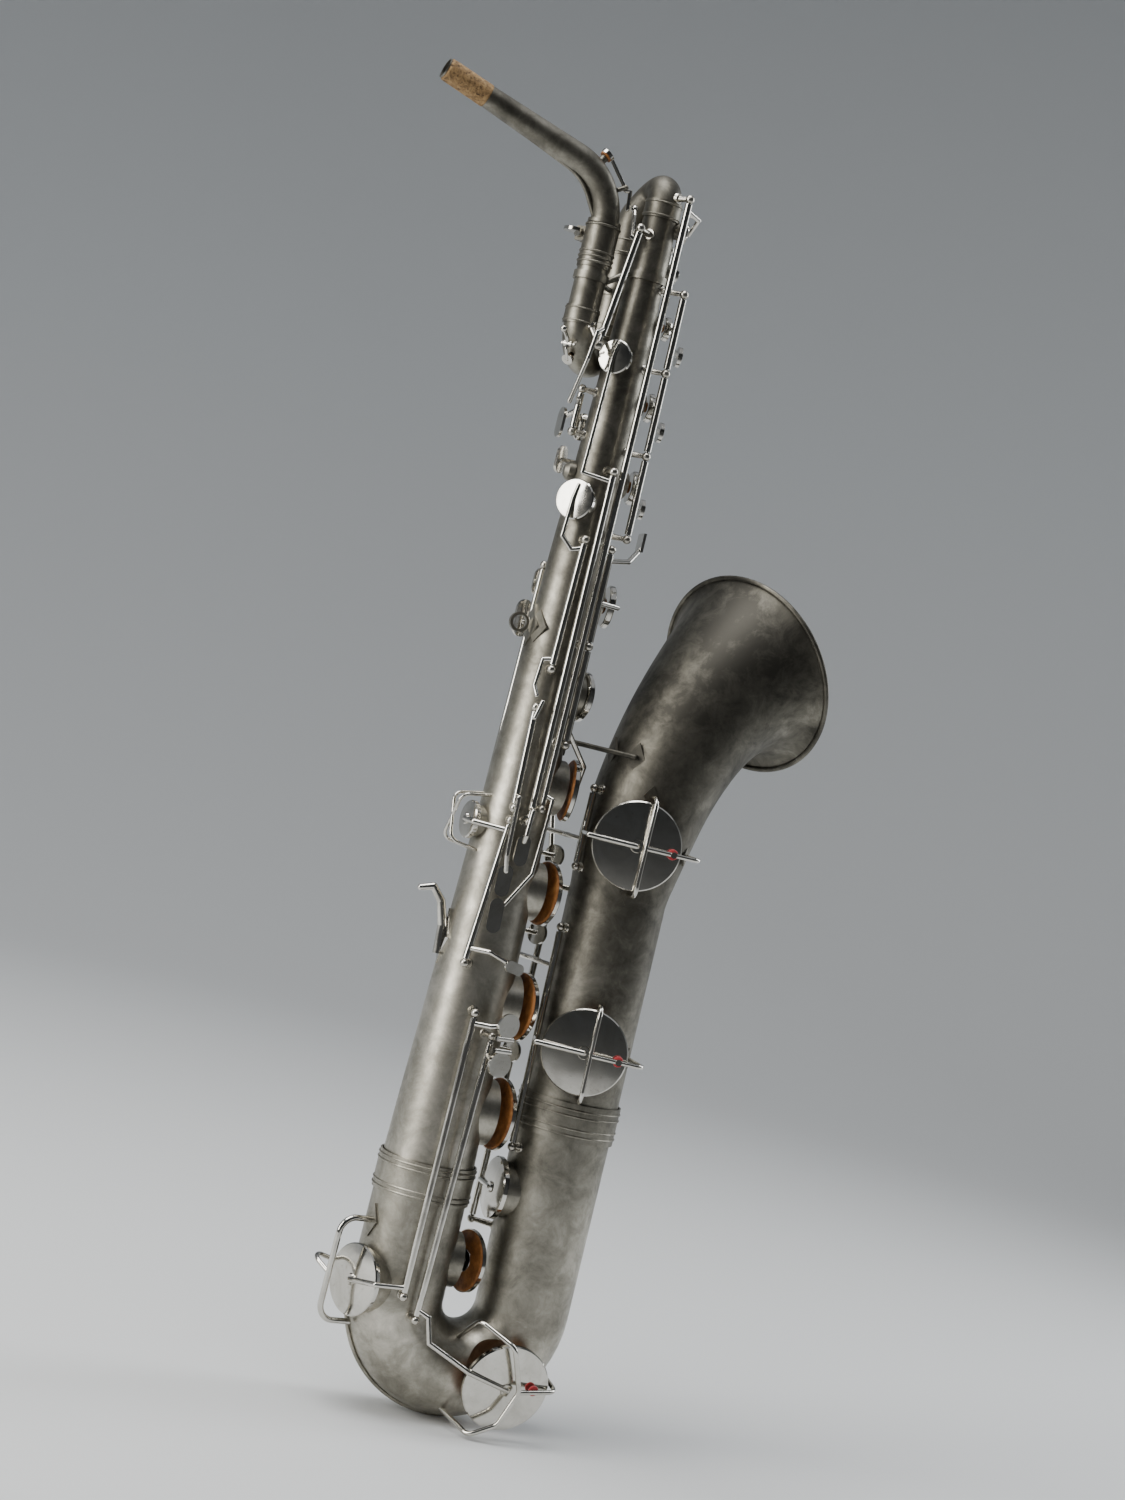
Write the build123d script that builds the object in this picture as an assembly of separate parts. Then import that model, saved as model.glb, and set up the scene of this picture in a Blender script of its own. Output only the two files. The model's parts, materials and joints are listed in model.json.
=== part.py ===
from build123d import *
import os
from functools import cache
from math import atan2, cos, degrees, radians, sin

# Baritone saxophone, low B flat, with its neck on and no mouthpiece. Lengths in millimetres.
# The modelling frame has the body tube's axis on +Z and the bottom of the bow at z = 0.
# +X runs forward from the body tube to the bell tube, and +Y to the player's left.
# Every part is shifted on saving, so that the strap ring's centre is the origin.

os.makedirs("parts", exist_ok=True)

# ---- driving dimensions -------------------------------------------------------------------
WALL = 1.0                      # sheet of the body, bow, bell and loop
BODY_SECTIONS = 12              # steps in the body tube's taper
BODY_FULLNESS = 0.12            # its middle is this much fuller than a straight cone
BELL_FERRULE_R = 39.6
TUBE_SPACING = 106.0            # body tube axis to the bell tube's axis, at the bow
BELL_LEAN = 0.84                # degrees the bell tube leans back to the body
BODY_LOW_Z = 182.0              # joint of the body tube and the bow
BODY_TOP_Z = 956.0              # joint of the body tube and the top bow
BODY_LOW_R = 36.6
BODY_TOP_R = 13.2
BOW_R = 37.5                    # tube radius round the bow
BOW_CENTRE_Z = 91.0
BELL_JOINT_Z = 246.0
BELL_JOINT_R = 38.5
BELL_STRAIGHT_Z = 420.0         # where the bell tube starts to lean forward
BELL_STRAIGHT_R = 39.0
RIM_CENTRE = Vector(175.0, 29.0, 625.0)
RIM_AXIS = Vector(0.772, 0.446, 0.454)
RIM_R = 81.0
RIM_BEAD_R = 2.2

LOOP_UP = (-10.0, 32.0)         # axis of the loop's falling tube, in plan
LOOP_DOWN = (-46.0, -6.0)       # axis of the tube that carries the neck, in plan
LOOP_R = 12.2
LOOP_BEND_Z = 855.0
TOP_BOW_Z = 973.0               # centre line at the top of the top bow
TOP_BOW_BACK = Vector(1.0, 28.0, TOP_BOW_Z)
TOP_BOW_LOW = Vector(-10.0, 32.0, 950.0)
TOP_BOW_END_Z = 926.0
RECEIVER_Z = 904.0
RECEIVER_TOP_Z = 930.0
NECK_BEND_R = 45.2
NECK_CORNER_Z = 965.0
NECK_RISE = 15.6                # degrees above level at the cork
NECK_BASE_R = 11.0
NECK_TIP_R = 8.0
CORK_R = 9.3
CORK_LENGTH = 39.0
CORK_TIP_X = -197.5

STEEL_R = 1.3                   # hinge steels
TUBE_BORE_GAP = 0.05            # running clearance of a hinge tube on its steel
HINGE_TUBE_R = 2.8
BALL_R = 3.5                    # ball of a post
END_GAP = 0.3                   # between a hinge tube and the ball beside it
SEAT_HEIGHT = 4.0               # tone hole seat above the tube
SEAT_GAP = 0.3                  # a closed pad above its seat
CHIMNEY_WALL = 1.2
CUP_WALL = 0.7
CUP_RIM_LIFT = 1.3              # how far the pad stands out of its cup
PAD_THICKNESS = 4.2
STRAP_Z = 618.5
STRAP_RING_R = 5.6              # inside of the strap ring
STRAP_RING_WIRE = 2.2
STRAP_RING_LENGTH = 4.0

ORIGIN = Vector(-33.5, 0.0, STRAP_Z)

HINGES = {}                     # name: point, direction, travel in degrees; a press turns it positive
saved = []


# ---- shapes -------------------------------------------------------------------------------
def body_radius(z):
    """Radius of the body tube, or of the bow's rear leg below it."""
    if z < BODY_LOW_Z:
        return BOW_R + (BODY_LOW_R - BOW_R) * max(z - BOW_CENTRE_Z, 0.0) / (BODY_LOW_Z - BOW_CENTRE_Z)
    share = (z - BODY_LOW_Z) / (BODY_TOP_Z - BODY_LOW_Z)
    return BODY_LOW_R + (BODY_TOP_R - BODY_LOW_R) * share


def bell_radius(z):
    """Radius of the bell tube at a height on its straight stretch, and a little above it."""
    if z < BELL_JOINT_Z:
        return BOW_R + (BELL_JOINT_R - BOW_R) * (z - BOW_CENTRE_Z) / (BELL_JOINT_Z - BOW_CENTRE_Z)
    share = (z - BELL_JOINT_Z) / (BELL_STRAIGHT_Z - BELL_JOINT_Z)
    if share < 1.0:
        return BELL_JOINT_R + (BELL_STRAIGHT_R - BELL_JOINT_R) * share
    return BELL_STRAIGHT_R


def bell_axis(z):
    """Point on the axis of the bell tube's straight stretch."""
    lean = radians(BELL_LEAN)
    half = TUBE_SPACING / 2
    start = Vector(half + half * cos(lean), 0, BOW_CENTRE_Z + half * sin(lean))
    return start + Vector(-sin(lean), 0, cos(lean)) * ((z - start.Z) / cos(lean))


def flat(angle):
    """Unit vector in plan, at an angle in degrees from +X."""
    return Vector(cos(radians(angle)), sin(radians(angle)), 0)


def on_body(angle, z, height=0.0):
    return flat(angle) * (body_radius(z) + height) + Vector(0, 0, z)


def on_bell(angle, z, height=0.0):
    """Point above the bell tube, at an angle about its axis; above the straight stretch it is found."""
    centre = bell_axis(z)
    if z <= BELL_STRAIGHT_Z:
        return centre + flat(angle) * (bell_radius(z) + height)
    hits = bell_flare(0.0).find_intersection_points(Axis(centre, flat(angle)))
    reach = max((point - centre).dot(flat(angle)) for point, normal in hits)
    return centre + flat(angle) * (reach + height)


def aimed(origin, direction):
    return Plane(origin=origin, z_dir=direction).location


def rod(start, end, radius, end_radius=None):
    """Round bar or cone from one point to another."""
    run = end - start
    if end_radius is None or abs(end_radius - radius) < 1e-6:
        bar_solid = Solid.make_cylinder(radius, run.length)
    else:
        bar_solid = Solid.make_cone(radius, end_radius, run.length)
    return bar_solid.moved(aimed(start, run))


def ball(centre, radius):
    return Solid.make_sphere(radius).moved(Location(centre))


def fused(shapes):
    """One solid from overlapping ones."""
    first, *others = shapes
    if not others:
        return first
    result = first.fuse(*others)
    if isinstance(result, (list, ShapeList)):
        result = Compound(children=list(result))
    return result


def cut(shape, *tools):
    result = shape.cut(*tools)
    if isinstance(result, (list, ShapeList)):
        result = Compound(children=list(result))
    return result


def bar(points, radius, end_radius=None):
    """Bent round bar through points, rounded at its corners."""
    last = radius if end_radius is None else end_radius
    steps = len(points) - 1
    sizes = [radius + (last - radius) * i / steps for i in range(steps + 1)]
    pieces = [rod(points[i], points[i + 1], sizes[i], sizes[i + 1]) for i in range(steps)]
    pieces += [ball(points[i], sizes[i]) for i in range(1, steps)]
    pieces.append(ball(points[-1], last))
    return fused(pieces)


def wire_loop(points, radius, corner):
    """Round wire along straight runs joined by tangent arcs."""
    path = FilletPolyline(*points, radius=corner)
    start = Plane(origin=points[0], z_dir=points[1] - points[0])
    return sweep(start * Circle(radius), path=path).solids()[0]


def cone_shell(centre_low, centre_high, low_r, high_r, wall=WALL):
    outer = rod(centre_low, centre_high, low_r, high_r)
    inner = rod(centre_low, centre_high, low_r - wall, high_r - wall)
    return cut(outer, inner)


def ring(centre, direction, inner_r, outer_r, length):
    """Flat-ended sleeve centred on a point."""
    unit = direction.normalized()
    start = centre - unit * (length / 2)
    end = centre + unit * (length / 2)
    return cut(rod(start, end, outer_r), rod(start, end, inner_r))


def plate(centre, outward, up, half_width, half_height, thickness):
    """Diamond plate, its long diagonal along up, its back face on the centre point."""
    side = up.cross(outward).normalized()
    face_plane = Plane(origin=centre, x_dir=side, z_dir=outward)
    outline = Polyline((half_width, 0), (0, half_height), (-half_width, 0), (0, -half_height), close=True)
    return extrude(face_plane * make_face(outline), thickness).solids()[0]


def turned(shape, hinge, angle):
    return shape.rotate(Axis(hinge[0], hinge[1]), angle)


def save(name, *shapes):
    """Write one node, as one solid or as a group of separate solids."""
    solids = []
    for shape in shapes:
        solids.extend(shape.solids())
    moved = [solid.moved(Location(-ORIGIN)) for solid in solids]
    whole = moved[0] if len(moved) == 1 else Compound(children=moved)
    whole.label = name
    export_step(whole, f"parts/{name}.step")
    saved.append(name)


BELL_SECTIONS = ((0.0, 39.0), (0.1, 40.6), (0.2, 43.4), (0.4, 46.6), (0.58, 50.2), (0.72, 54.0),
                 (0.84, 59.5), (0.93, 67.0), (0.98, 75.0), (1.0, 81.0))    # share of the way, radius


def bell_centre_line():
    start = bell_axis(BELL_STRAIGHT_Z)
    along = (start - bell_axis(BELL_JOINT_Z)).normalized()
    return Bezier(start, start + along * 76, RIM_CENTRE - RIM_AXIS.normalized() * 70, RIM_CENTRE)


@cache
def bell_flare(shrink):
    """The flare as a solid, its radius smaller by shrink."""
    path = bell_centre_line()
    sections = []
    for share, radius in BELL_SECTIONS:
        tangent = path % share
        seam = Vector(0, 1, 0) - tangent * tangent.Y
        place = Plane(origin=path @ share, x_dir=seam, z_dir=tangent)
        sections.append(place * Circle(radius - shrink))
    return loft(sections).solids()[0]


# ---- hinge lines, posts and keys ------------------------------------------------------------
class Line:
    """A straight hinge line between two balls, upper end first."""

    def __init__(self, top, bottom):
        self.top = top
        self.bottom = bottom
        self.direction = (top - bottom).normalized()

    def at(self, z):
        share = (z - self.bottom.Z) / (self.top.Z - self.bottom.Z)
        return self.bottom + (self.top - self.bottom) * share

    def steel(self):
        reach = self.direction * (BALL_R - 0.6)
        return rod(self.bottom - reach, self.top + reach, STEEL_R)

    def bore(self):
        reach = self.direction * 20
        return rod(self.bottom - reach, self.top + reach, STEEL_R + TUBE_BORE_GAP)

    def tube(self, low_z, high_z):
        return rod(self.at(low_z), self.at(high_z), HINGE_TUBE_R)


def post(line, z, foot):
    """Ball post soldered at the foot point; the steel passes through its ball."""
    centre = line.at(z)
    rise = (centre - foot).normalized()
    base = rod(foot - rise * 1.2, foot + rise * 0.9, 4.6, 4.0)
    stem = rod(foot, centre, 2.6, 1.9)
    hole = rod(centre - line.direction * 6, centre + line.direction * 6, STEEL_R)
    return cut(fused([base, stem, ball(centre, BALL_R)]), hole)


def body_post(line, z):
    centre = line.at(z)
    angle = degrees(atan2(centre.Y, centre.X))
    return post(line, z, on_body(angle, z))


def bell_post(line, z):
    centre = line.at(z)
    angle = degrees(atan2(centre.Y, centre.X - bell_axis(z).X))
    return post(line, z, on_bell(angle, z))


def cup_and_pad(seat, outward, diameter):
    """Key cup with its pad and resonator, closed over a seat. Returns metal, then soft pieces."""
    r = diameter / 2
    edge = PAD_THICKNESS + 1.0
    crown = edge + 0.4 + 0.05 * r
    inner = r - CUP_WALL
    sides = Polyline((r - 0.9, edge), (r, edge - 0.9), (r, CUP_RIM_LIFT), (inner, CUP_RIM_LIFT),
                     (inner, PAD_THICKNESS), (0, PAD_THICKNESS), (0, crown))
    back = ThreePointArc((0, crown), (r * 0.5, crown - 0.25 * (crown - edge)), (r - 0.9, edge))
    metal = revolve(Plane.XZ * make_face(sides + back), Axis.Z, 360).solids()[0]
    pad_outline = Polyline((0, 0), (inner - 0.6, 0), (inner, 0.6), (inner, PAD_THICKNESS),
                           (0, PAD_THICKNESS), close=True)
    pad = revolve(Plane.XZ * make_face(pad_outline), Axis.Z, 360).solids()[0]
    resonator = Solid.make_cone(0.30 * r, 0.36 * r, 0.8).moved(Location((0, 0, -0.8)))
    place = aimed(seat + outward * SEAT_GAP, outward)
    return metal.moved(place), [pad.moved(place), resonator.moved(place)]


def cup_top(seat, outward, diameter):
    """Where an arm ends, just above the middle of a closed cup's back."""
    return seat + outward * (SEAT_GAP + PAD_THICKNESS + 2.2 + 0.05 * diameter / 2)


def cup_boss(top, outward, radius=5.0):
    """Round seat on a cup's back, under the end of its arm."""
    return rod(top - outward * 1.5, top + outward * 0.8, radius, radius - 0.8)


def cup_shoulder(seat, outward, diameter, root):
    """Where an arm from a root point passes over the edge of a closed cup."""
    run = root - seat
    level = (run - outward * run.dot(outward)).normalized()
    return seat + outward * (SEAT_GAP + PAD_THICKNESS + 2.4) + level * (diameter / 2 + 1.0)


def touch_plate(centre, outward, along, half_length, half_width, thickness=2.2):
    """Rounded finger plate."""
    face_plane = Plane(origin=centre, x_dir=along, z_dir=outward)
    body = face_plane * SlotOverall(2 * half_length, 2 * half_width)
    return extrude(body, thickness).solids()[0]


def pearl_touch(centre, outward, radius=8.0):
    """Metal cup of a finger pearl, and the pearl in it."""
    holder = rod(centre, centre + outward * 3.0, radius, radius)
    pocket = rod(centre + outward * 1.2, centre + outward * 3.0, radius - 0.9)
    pearl = rod(centre + outward * 1.2, centre + outward * 3.6, radius - 0.9, radius - 1.8)
    return cut(holder, pocket), pearl


def finish_key(name, line, metal, soft=(), travel=10.0, sign=1.0, opened=0.0, pad_node=None):
    """Bore the hinge tube, open the key to its resting place, and save it."""
    hinge = (line.bottom, line.direction * sign)
    key = cut(fused(metal), line.bore())
    key_solids = [turned(key, hinge, -opened)]
    soft_solids = [turned(piece, hinge, -opened) for piece in soft]
    if pad_node:
        save(name, *key_solids, *soft_solids[2:])
        save(pad_node, *soft_solids[:2])
    else:
        save(name, *key_solids, *soft_solids)
    HINGES[name] = (line.bottom, line.direction * sign, travel)


# ---- tone holes: name, tube, angle, z, cup diameter --------------------------------------------
class Hole:
    """A tone hole with its seat, on the body, the bell or the bow."""

    def __init__(self, tube, angle, z, cup):
        self.cup = cup
        self.bore_r = cup / 2 - 4.2 if cup > 24 else cup / 2 - 3.0
        self.outward = flat(angle)
        if tube == "bell":
            self.axis_point = bell_axis(z)
            self.seat = on_bell(angle, z, SEAT_HEIGHT)
        else:
            self.axis_point = Vector(0, 0, z)
            self.seat = on_body(angle, z, SEAT_HEIGHT)

    def chimney(self):
        return rod(self.axis_point, self.seat, self.bore_r + CHIMNEY_WALL)

    def opening(self):
        return rod(self.axis_point, self.seat + self.outward * 2, self.bore_r)


HOLES = {
    "high_e": Hole("body", -12, 944, 17),
    "palm_f": Hole("body", 12, 912, 17),
    "palm_e_flat": Hole("body", 52, 882, 18),
    "palm_d": Hole("body", 40, 838, 19),
    "b": Hole("body", 0, 869, 19),
    "side_c": Hole("body", -130, 834, 27),
    "a": Hole("body", 0, 806, 23),
    "c": Hole("body", 0, 742, 27),
    "side_b_flat": Hole("body", -135, 720, 32),
    "g": Hole("body", 0, 647, 34),
    "g_sharp": Hole("body", 6, 574, 40),
    "f_sharp": Hole("body", 0, 500, 50),
    "f_sharp_trill": Hole("body", -174, 461, 30),
    "f": Hole("body", 0, 417, 52),
    "e": Hole("body", 0, 326, 55),
    "d": Hole("body", 0, 240, 58),
    "fork_e_flat": Hole("body", 0, 122, 50),
    "low_e_flat": Hole("body", -157, 97, 56),
    "low_b": Hole("bell", -104, 307, 68),
    "low_b_flat": Hole("bell", -100, 472, 70),
    "low_c_sharp": Hole("bell", 180, 183, 50),
}
BOW_HOLES = ("fork_e_flat", "low_e_flat", "low_c_sharp")
BELL_HOLES = ("low_b", "low_b_flat")
BODY_HOLES = [name for name in HOLES if name not in BOW_HOLES + BELL_HOLES]

LOW_C_AXIS = Vector(83.0, 0.0, 47.3)       # on the bow's centre line
LOW_C_OUT = Vector(0.11, -0.98, -0.15).normalized()
LOW_C_CUP = 70.0
LOW_C_BORE = 30.0
LOW_C_SEAT = LOW_C_AXIS + LOW_C_OUT * (BOW_R + SEAT_HEIGHT)


# ---- tubes ------------------------------------------------------------------------------------
def body_taper(shrink):
    """The body tube's taper as a solid, its radius smaller by shrink."""
    low = Vector(0, 0, BODY_LOW_Z)
    outline = [low]
    for section in range(BODY_SECTIONS + 1):
        share = section / BODY_SECTIONS
        z = BODY_LOW_Z + (BODY_TOP_Z - BODY_LOW_Z) * share
        fullness = BODY_FULLNESS * sin(radians(180 * share))
        outline.append(Vector(body_radius(z) + fullness - shrink, 0, z))
    outline.append(Vector(0, 0, BODY_TOP_Z))
    edges = [Edge.make_line(a, b) for a, b in zip(outline, outline[1:] + [low])]
    return revolve(Face(Wire(edges)), Axis.Z, 360).solids()[0]


def make_body_tube():
    solid = fused([body_taper(0.0)] + [HOLES[name].chimney() for name in BODY_HOLES])
    solid = cut(solid, body_taper(WALL))
    solid = cut(solid, *[HOLES[name].opening() for name in BODY_HOLES])
    save("body_tube", solid)


def bow_solid(shrink):
    """The bow as a solid, its radius smaller by shrink."""
    rear = rod(Vector(0, 0, BOW_CENTRE_Z), Vector(0, 0, BODY_LOW_Z), BOW_R - shrink, BODY_LOW_R - shrink)
    front_low = bell_axis(BOW_CENTRE_Z + TUBE_SPACING / 2 * sin(radians(BELL_LEAN)))
    front = rod(front_low, bell_axis(BELL_JOINT_Z), BOW_R - shrink, BELL_JOINT_R - shrink)
    middle = Vector(TUBE_SPACING / 2, 0, BOW_CENTRE_Z)
    section = Plane(origin=(0, 0, BOW_CENTRE_Z), z_dir=(0, 0, 1)) * Circle(BOW_R - shrink)
    bend = revolve(section, Axis(middle, Vector(0, -1, 0)), 180 + BELL_LEAN).solids()[0]
    return fused([rear, bend, front])


def make_bow():
    chimneys = [HOLES[name].chimney() for name in BOW_HOLES]
    chimneys.append(rod(LOW_C_AXIS, LOW_C_SEAT, LOW_C_BORE + CHIMNEY_WALL))
    openings = [HOLES[name].opening() for name in BOW_HOLES]
    openings.append(rod(LOW_C_AXIS, LOW_C_SEAT + LOW_C_OUT * 2, LOW_C_BORE))
    solid = cut(fused([bow_solid(0.0)] + chimneys), bow_solid(WALL))
    save("bow", cut(solid, *openings))


def bell_outer():
    joint = bell_axis(BELL_JOINT_Z)
    straight = bell_axis(BELL_STRAIGHT_Z)
    return fused([rod(joint, straight, BELL_JOINT_R, BELL_STRAIGHT_R), bell_flare(0.0)])


def make_bell():
    joint = bell_axis(BELL_JOINT_Z)
    straight = bell_axis(BELL_STRAIGHT_Z)
    inner = fused([rod(joint, straight, BELL_JOINT_R - WALL, BELL_STRAIGHT_R - WALL), bell_flare(WALL)])
    solid = fused([bell_outer()] + [HOLES[name].chimney() for name in BELL_HOLES])
    solid = cut(solid, inner)
    solid = cut(solid, *[HOLES[name].opening() for name in BELL_HOLES])
    bead = Solid.make_torus(RIM_R, RIM_BEAD_R).moved(aimed(RIM_CENTRE, RIM_AXIS))
    save("bell", fused([solid, bead]))


def make_ferrules():
    up = Vector(0, 0, 1)
    body_joint = Vector(0, 0, BODY_LOW_Z)
    bell_joint = bell_axis(BELL_JOINT_Z + 4)
    bands = []
    for centre, radius, bead_steps in ((body_joint, BOW_R, (-12, -8, 8, 12)),
                                       (bell_joint, BELL_FERRULE_R, (-10, -5, 5, 10))):
        sleeve = ring(centre, up, radius - 0.4, radius + 1.1, 30)
        beads = []
        for step in bead_steps:
            beads.append(Solid.make_torus(radius + 1.0, 0.9).moved(Location(centre + up * step)))
        bands.append(cut(fused([sleeve] + beads), rod(centre - up * 20, centre + up * 20, radius - 0.4)))
    save("ferrules", *bands, *loop_ferrules())


def make_bow_guard():
    middle = Vector(TUBE_SPACING / 2, 0, BOW_CENTRE_Z)
    reach = TUBE_SPACING / 2 + BOW_R + 1.1
    start_angle = 196.0
    section_centre = middle + Vector(cos(radians(start_angle)), 0, sin(radians(start_angle))) * reach
    tangent = Vector(sin(radians(start_angle)), 0, -cos(radians(start_angle)))
    section = Plane(origin=section_centre, z_dir=tangent) * Circle(1.7)
    ridge = revolve(section, Axis(middle, Vector(0, -1, 0)), 118).solids()[0]
    save("bow_guard", ridge)


def u_bend(first, second, z, radius, upward, shrink=0.0):
    """Half torus joining two upright tubes, above them or below them."""
    a = Vector(first[0], first[1], z)
    b = Vector(second[0], second[1], z)
    across = (b - a).normalized()
    hinge = Vector(0, 0, 1).cross(across)
    if not upward:
        hinge = hinge * -1
    section = Plane(origin=a, z_dir=(0, 0, 1)) * Circle(radius - shrink)
    return revolve(section, Axis((a + b) * 0.5, hinge), 180).solids()[0]


def top_bow_solid(shrink):
    """Over the top of the body tube, then down and back to the falling tube."""
    start = Vector(0, 0, BODY_TOP_Z)
    points = [start, Vector(0, 0, TOP_BOW_Z), TOP_BOW_BACK, TOP_BOW_LOW, Vector(*LOOP_UP, TOP_BOW_END_Z)]
    path = FilletPolyline(*points, radius=[14.0, 14.0, 20.0])
    return sweep(Plane(origin=start, z_dir=(0, 0, 1)) * Circle(BODY_TOP_R - shrink), path=path).solids()[0]


def make_loop():
    save("top_bow", cut(top_bow_solid(0.0), top_bow_solid(WALL)))
    nipple = rod(DRAIN_TIP - DRAIN_OUT * 9, DRAIN_TIP, 3.6)
    nipple_bore = rod(DRAIN_TIP - DRAIN_OUT * 9, DRAIN_TIP + DRAIN_OUT * 2, 2.2)
    bend = u_bend(LOOP_UP, LOOP_DOWN, LOOP_BEND_Z, LOOP_R, False)
    bend_void = u_bend(LOOP_UP, LOOP_DOWN, LOOP_BEND_Z, LOOP_R, False, WALL)
    save("loop_low_bend", cut(fused([bend, nipple]), bend_void, nipple_bore))
    save("loop_fall_tube", cone_shell(Vector(*LOOP_UP, LOOP_BEND_Z), Vector(*LOOP_UP, TOP_BOW_END_Z),
                                      LOOP_R, BODY_TOP_R))
    save("loop_rise_tube", cone_shell(Vector(*LOOP_DOWN, LOOP_BEND_Z), Vector(*LOOP_DOWN, RECEIVER_Z),
                                      LOOP_R, LOOP_R))


def loop_ferrules():
    up = Vector(0, 0, 1)
    bands = []
    for x, y, z, radius in ((0, 0, BODY_TOP_Z, 13.7), (*LOOP_UP, TOP_BOW_END_Z, 13.5),
                            (*LOOP_UP, LOOP_BEND_Z + 3, 12.5), (*LOOP_DOWN, LOOP_BEND_Z + 3, 12.5)):
        centre = Vector(x, y, z)
        sleeve = ring(centre, up, radius - 0.2, radius + 0.9, 14)
        beads = [Solid.make_torus(radius + 0.8, 0.7).moved(Location(centre + up * step))
                 for step in (-5, 5)]
        bands.append(cut(fused([sleeve] + beads), rod(centre - up * 9, centre + up * 9, radius - 0.2)))
    return bands


def make_loop_bracket():
    """Strap from the body tube to the neck's tube, and a link between the loop's two tubes."""
    z = 902.0
    low_z = 889.0
    body_r = body_radius(z)
    up = Vector(0, 0, 1)
    clips = [ring(Vector(0, 0, z), up, body_r - 0.1, body_r + 1.6, 6),
             ring(Vector(*LOOP_DOWN, low_z), up, LOOP_R, LOOP_R + 1.6, 6)]
    toward = Vector(*LOOP_DOWN, 0).normalized()
    start = Vector(0, 0, z) + toward * (body_r + 0.8)
    end = Vector(*LOOP_DOWN, low_z) - toward * (LOOP_R + 0.8)
    across = (Vector(*LOOP_DOWN, 0) - Vector(*LOOP_UP, 0)).normalized()
    link_start = Vector(*LOOP_UP, low_z) + across * (LOOP_R + 0.4)
    link_end = Vector(*LOOP_DOWN, low_z) - across * (LOOP_R + 0.8)
    clips.append(ring(Vector(*LOOP_UP, low_z), up, 12.9, 14.2, 6))
    save("loop_bracket", fused(clips + [rod(start, end, 2.4), rod(link_start, link_end, 2.2)]))


def neck_points():
    corner = Vector(LOOP_DOWN[0], LOOP_DOWN[1], NECK_CORNER_Z)
    direction = Vector(-cos(radians(NECK_RISE)), 0, sin(radians(NECK_RISE)))
    tip = corner + direction * ((LOOP_DOWN[0] - CORK_TIP_X) / cos(radians(NECK_RISE)))
    return corner, direction, tip


def make_neck():
    corner, direction, tip = neck_points()
    cork_start = tip - direction * CORK_LENGTH
    turn = 90 - NECK_RISE
    reach = NECK_BEND_R * sin(radians(turn / 2)) / cos(radians(turn / 2))
    bend_low = corner - Vector(0, 0, reach)
    bend_high = corner + direction * reach
    centre = bend_low + Vector(-NECK_BEND_R, 0, 0)

    def solid(shrink):
        tenon = rod(Vector(*LOOP_DOWN, RECEIVER_Z + 0.5), bend_low, NECK_BASE_R - shrink)
        section = Plane(origin=bend_low, z_dir=(0, 0, 1)) * Circle(NECK_BASE_R - shrink)
        elbow = revolve(section, Axis(centre, Vector(0, -1, 0)), turn).solids()[0]
        run = rod(bend_high, tip, NECK_BASE_R - shrink, NECK_TIP_R - shrink)
        return fused([tenon, elbow, run])

    brace_points = [cork_start - direction * 26 + Vector(0, 0, -8.0),
                    corner + direction * 26 + Vector(-1, 0, -10.8),
                    bend_low + Vector(-9.6, 0, 4.5)]
    brace = wire_loop(brace_points, 1.9, 40.0)
    octave_out = Vector(0.55, 0, 0.83).normalized()
    pip_base = centre + octave_out * (NECK_BEND_R + NECK_BASE_R - 1.5)
    pip = rod(pip_base, pip_base + octave_out * 5.2, 3.2)
    pip_bore = rod(pip_base - octave_out * 4, pip_base + octave_out * 6, 1.5)
    saddle_out = Vector(0.86, 0, 0.51).normalized()
    saddle_base = centre + saddle_out * (NECK_BEND_R + NECK_BASE_R - 0.6)
    saddle_pin = saddle_base + saddle_out * 7.0
    ears = []
    for side in (-1, 1):
        ear_start = saddle_base + Vector(0, 4.4 * side, 0)
        ear = fused([rod(ear_start, saddle_pin + Vector(0, 4.4 * side, 0), 1.6),
                     ball(saddle_pin + Vector(0, 4.4 * side, 0), 2.2)])
        ears.append(ear)
    pin = rod(saddle_pin + Vector(0, -6.2, 0), saddle_pin + Vector(0, 6.2, 0), 1.0)
    collar_z = RECEIVER_TOP_Z + 2.0
    collar = rod(Vector(*LOOP_DOWN, collar_z - 1.5), Vector(*LOOP_DOWN, collar_z + 1.5), NECK_BASE_R + 2.0)
    save("neck_tube", cut(fused([solid(0.0), brace, pip, pin, collar] + ears), solid(WALL), pip_bore))
    bite = rod(cork_start, tip, NECK_TIP_R + 0.4, NECK_TIP_R)
    cork = cut(rod(cork_start, tip - direction * 1.0, CORK_R), solid(0.0), bite)
    save("neck_cork", cork)
    return saddle_pin, pip_base + octave_out * 5.2, octave_out


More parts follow.
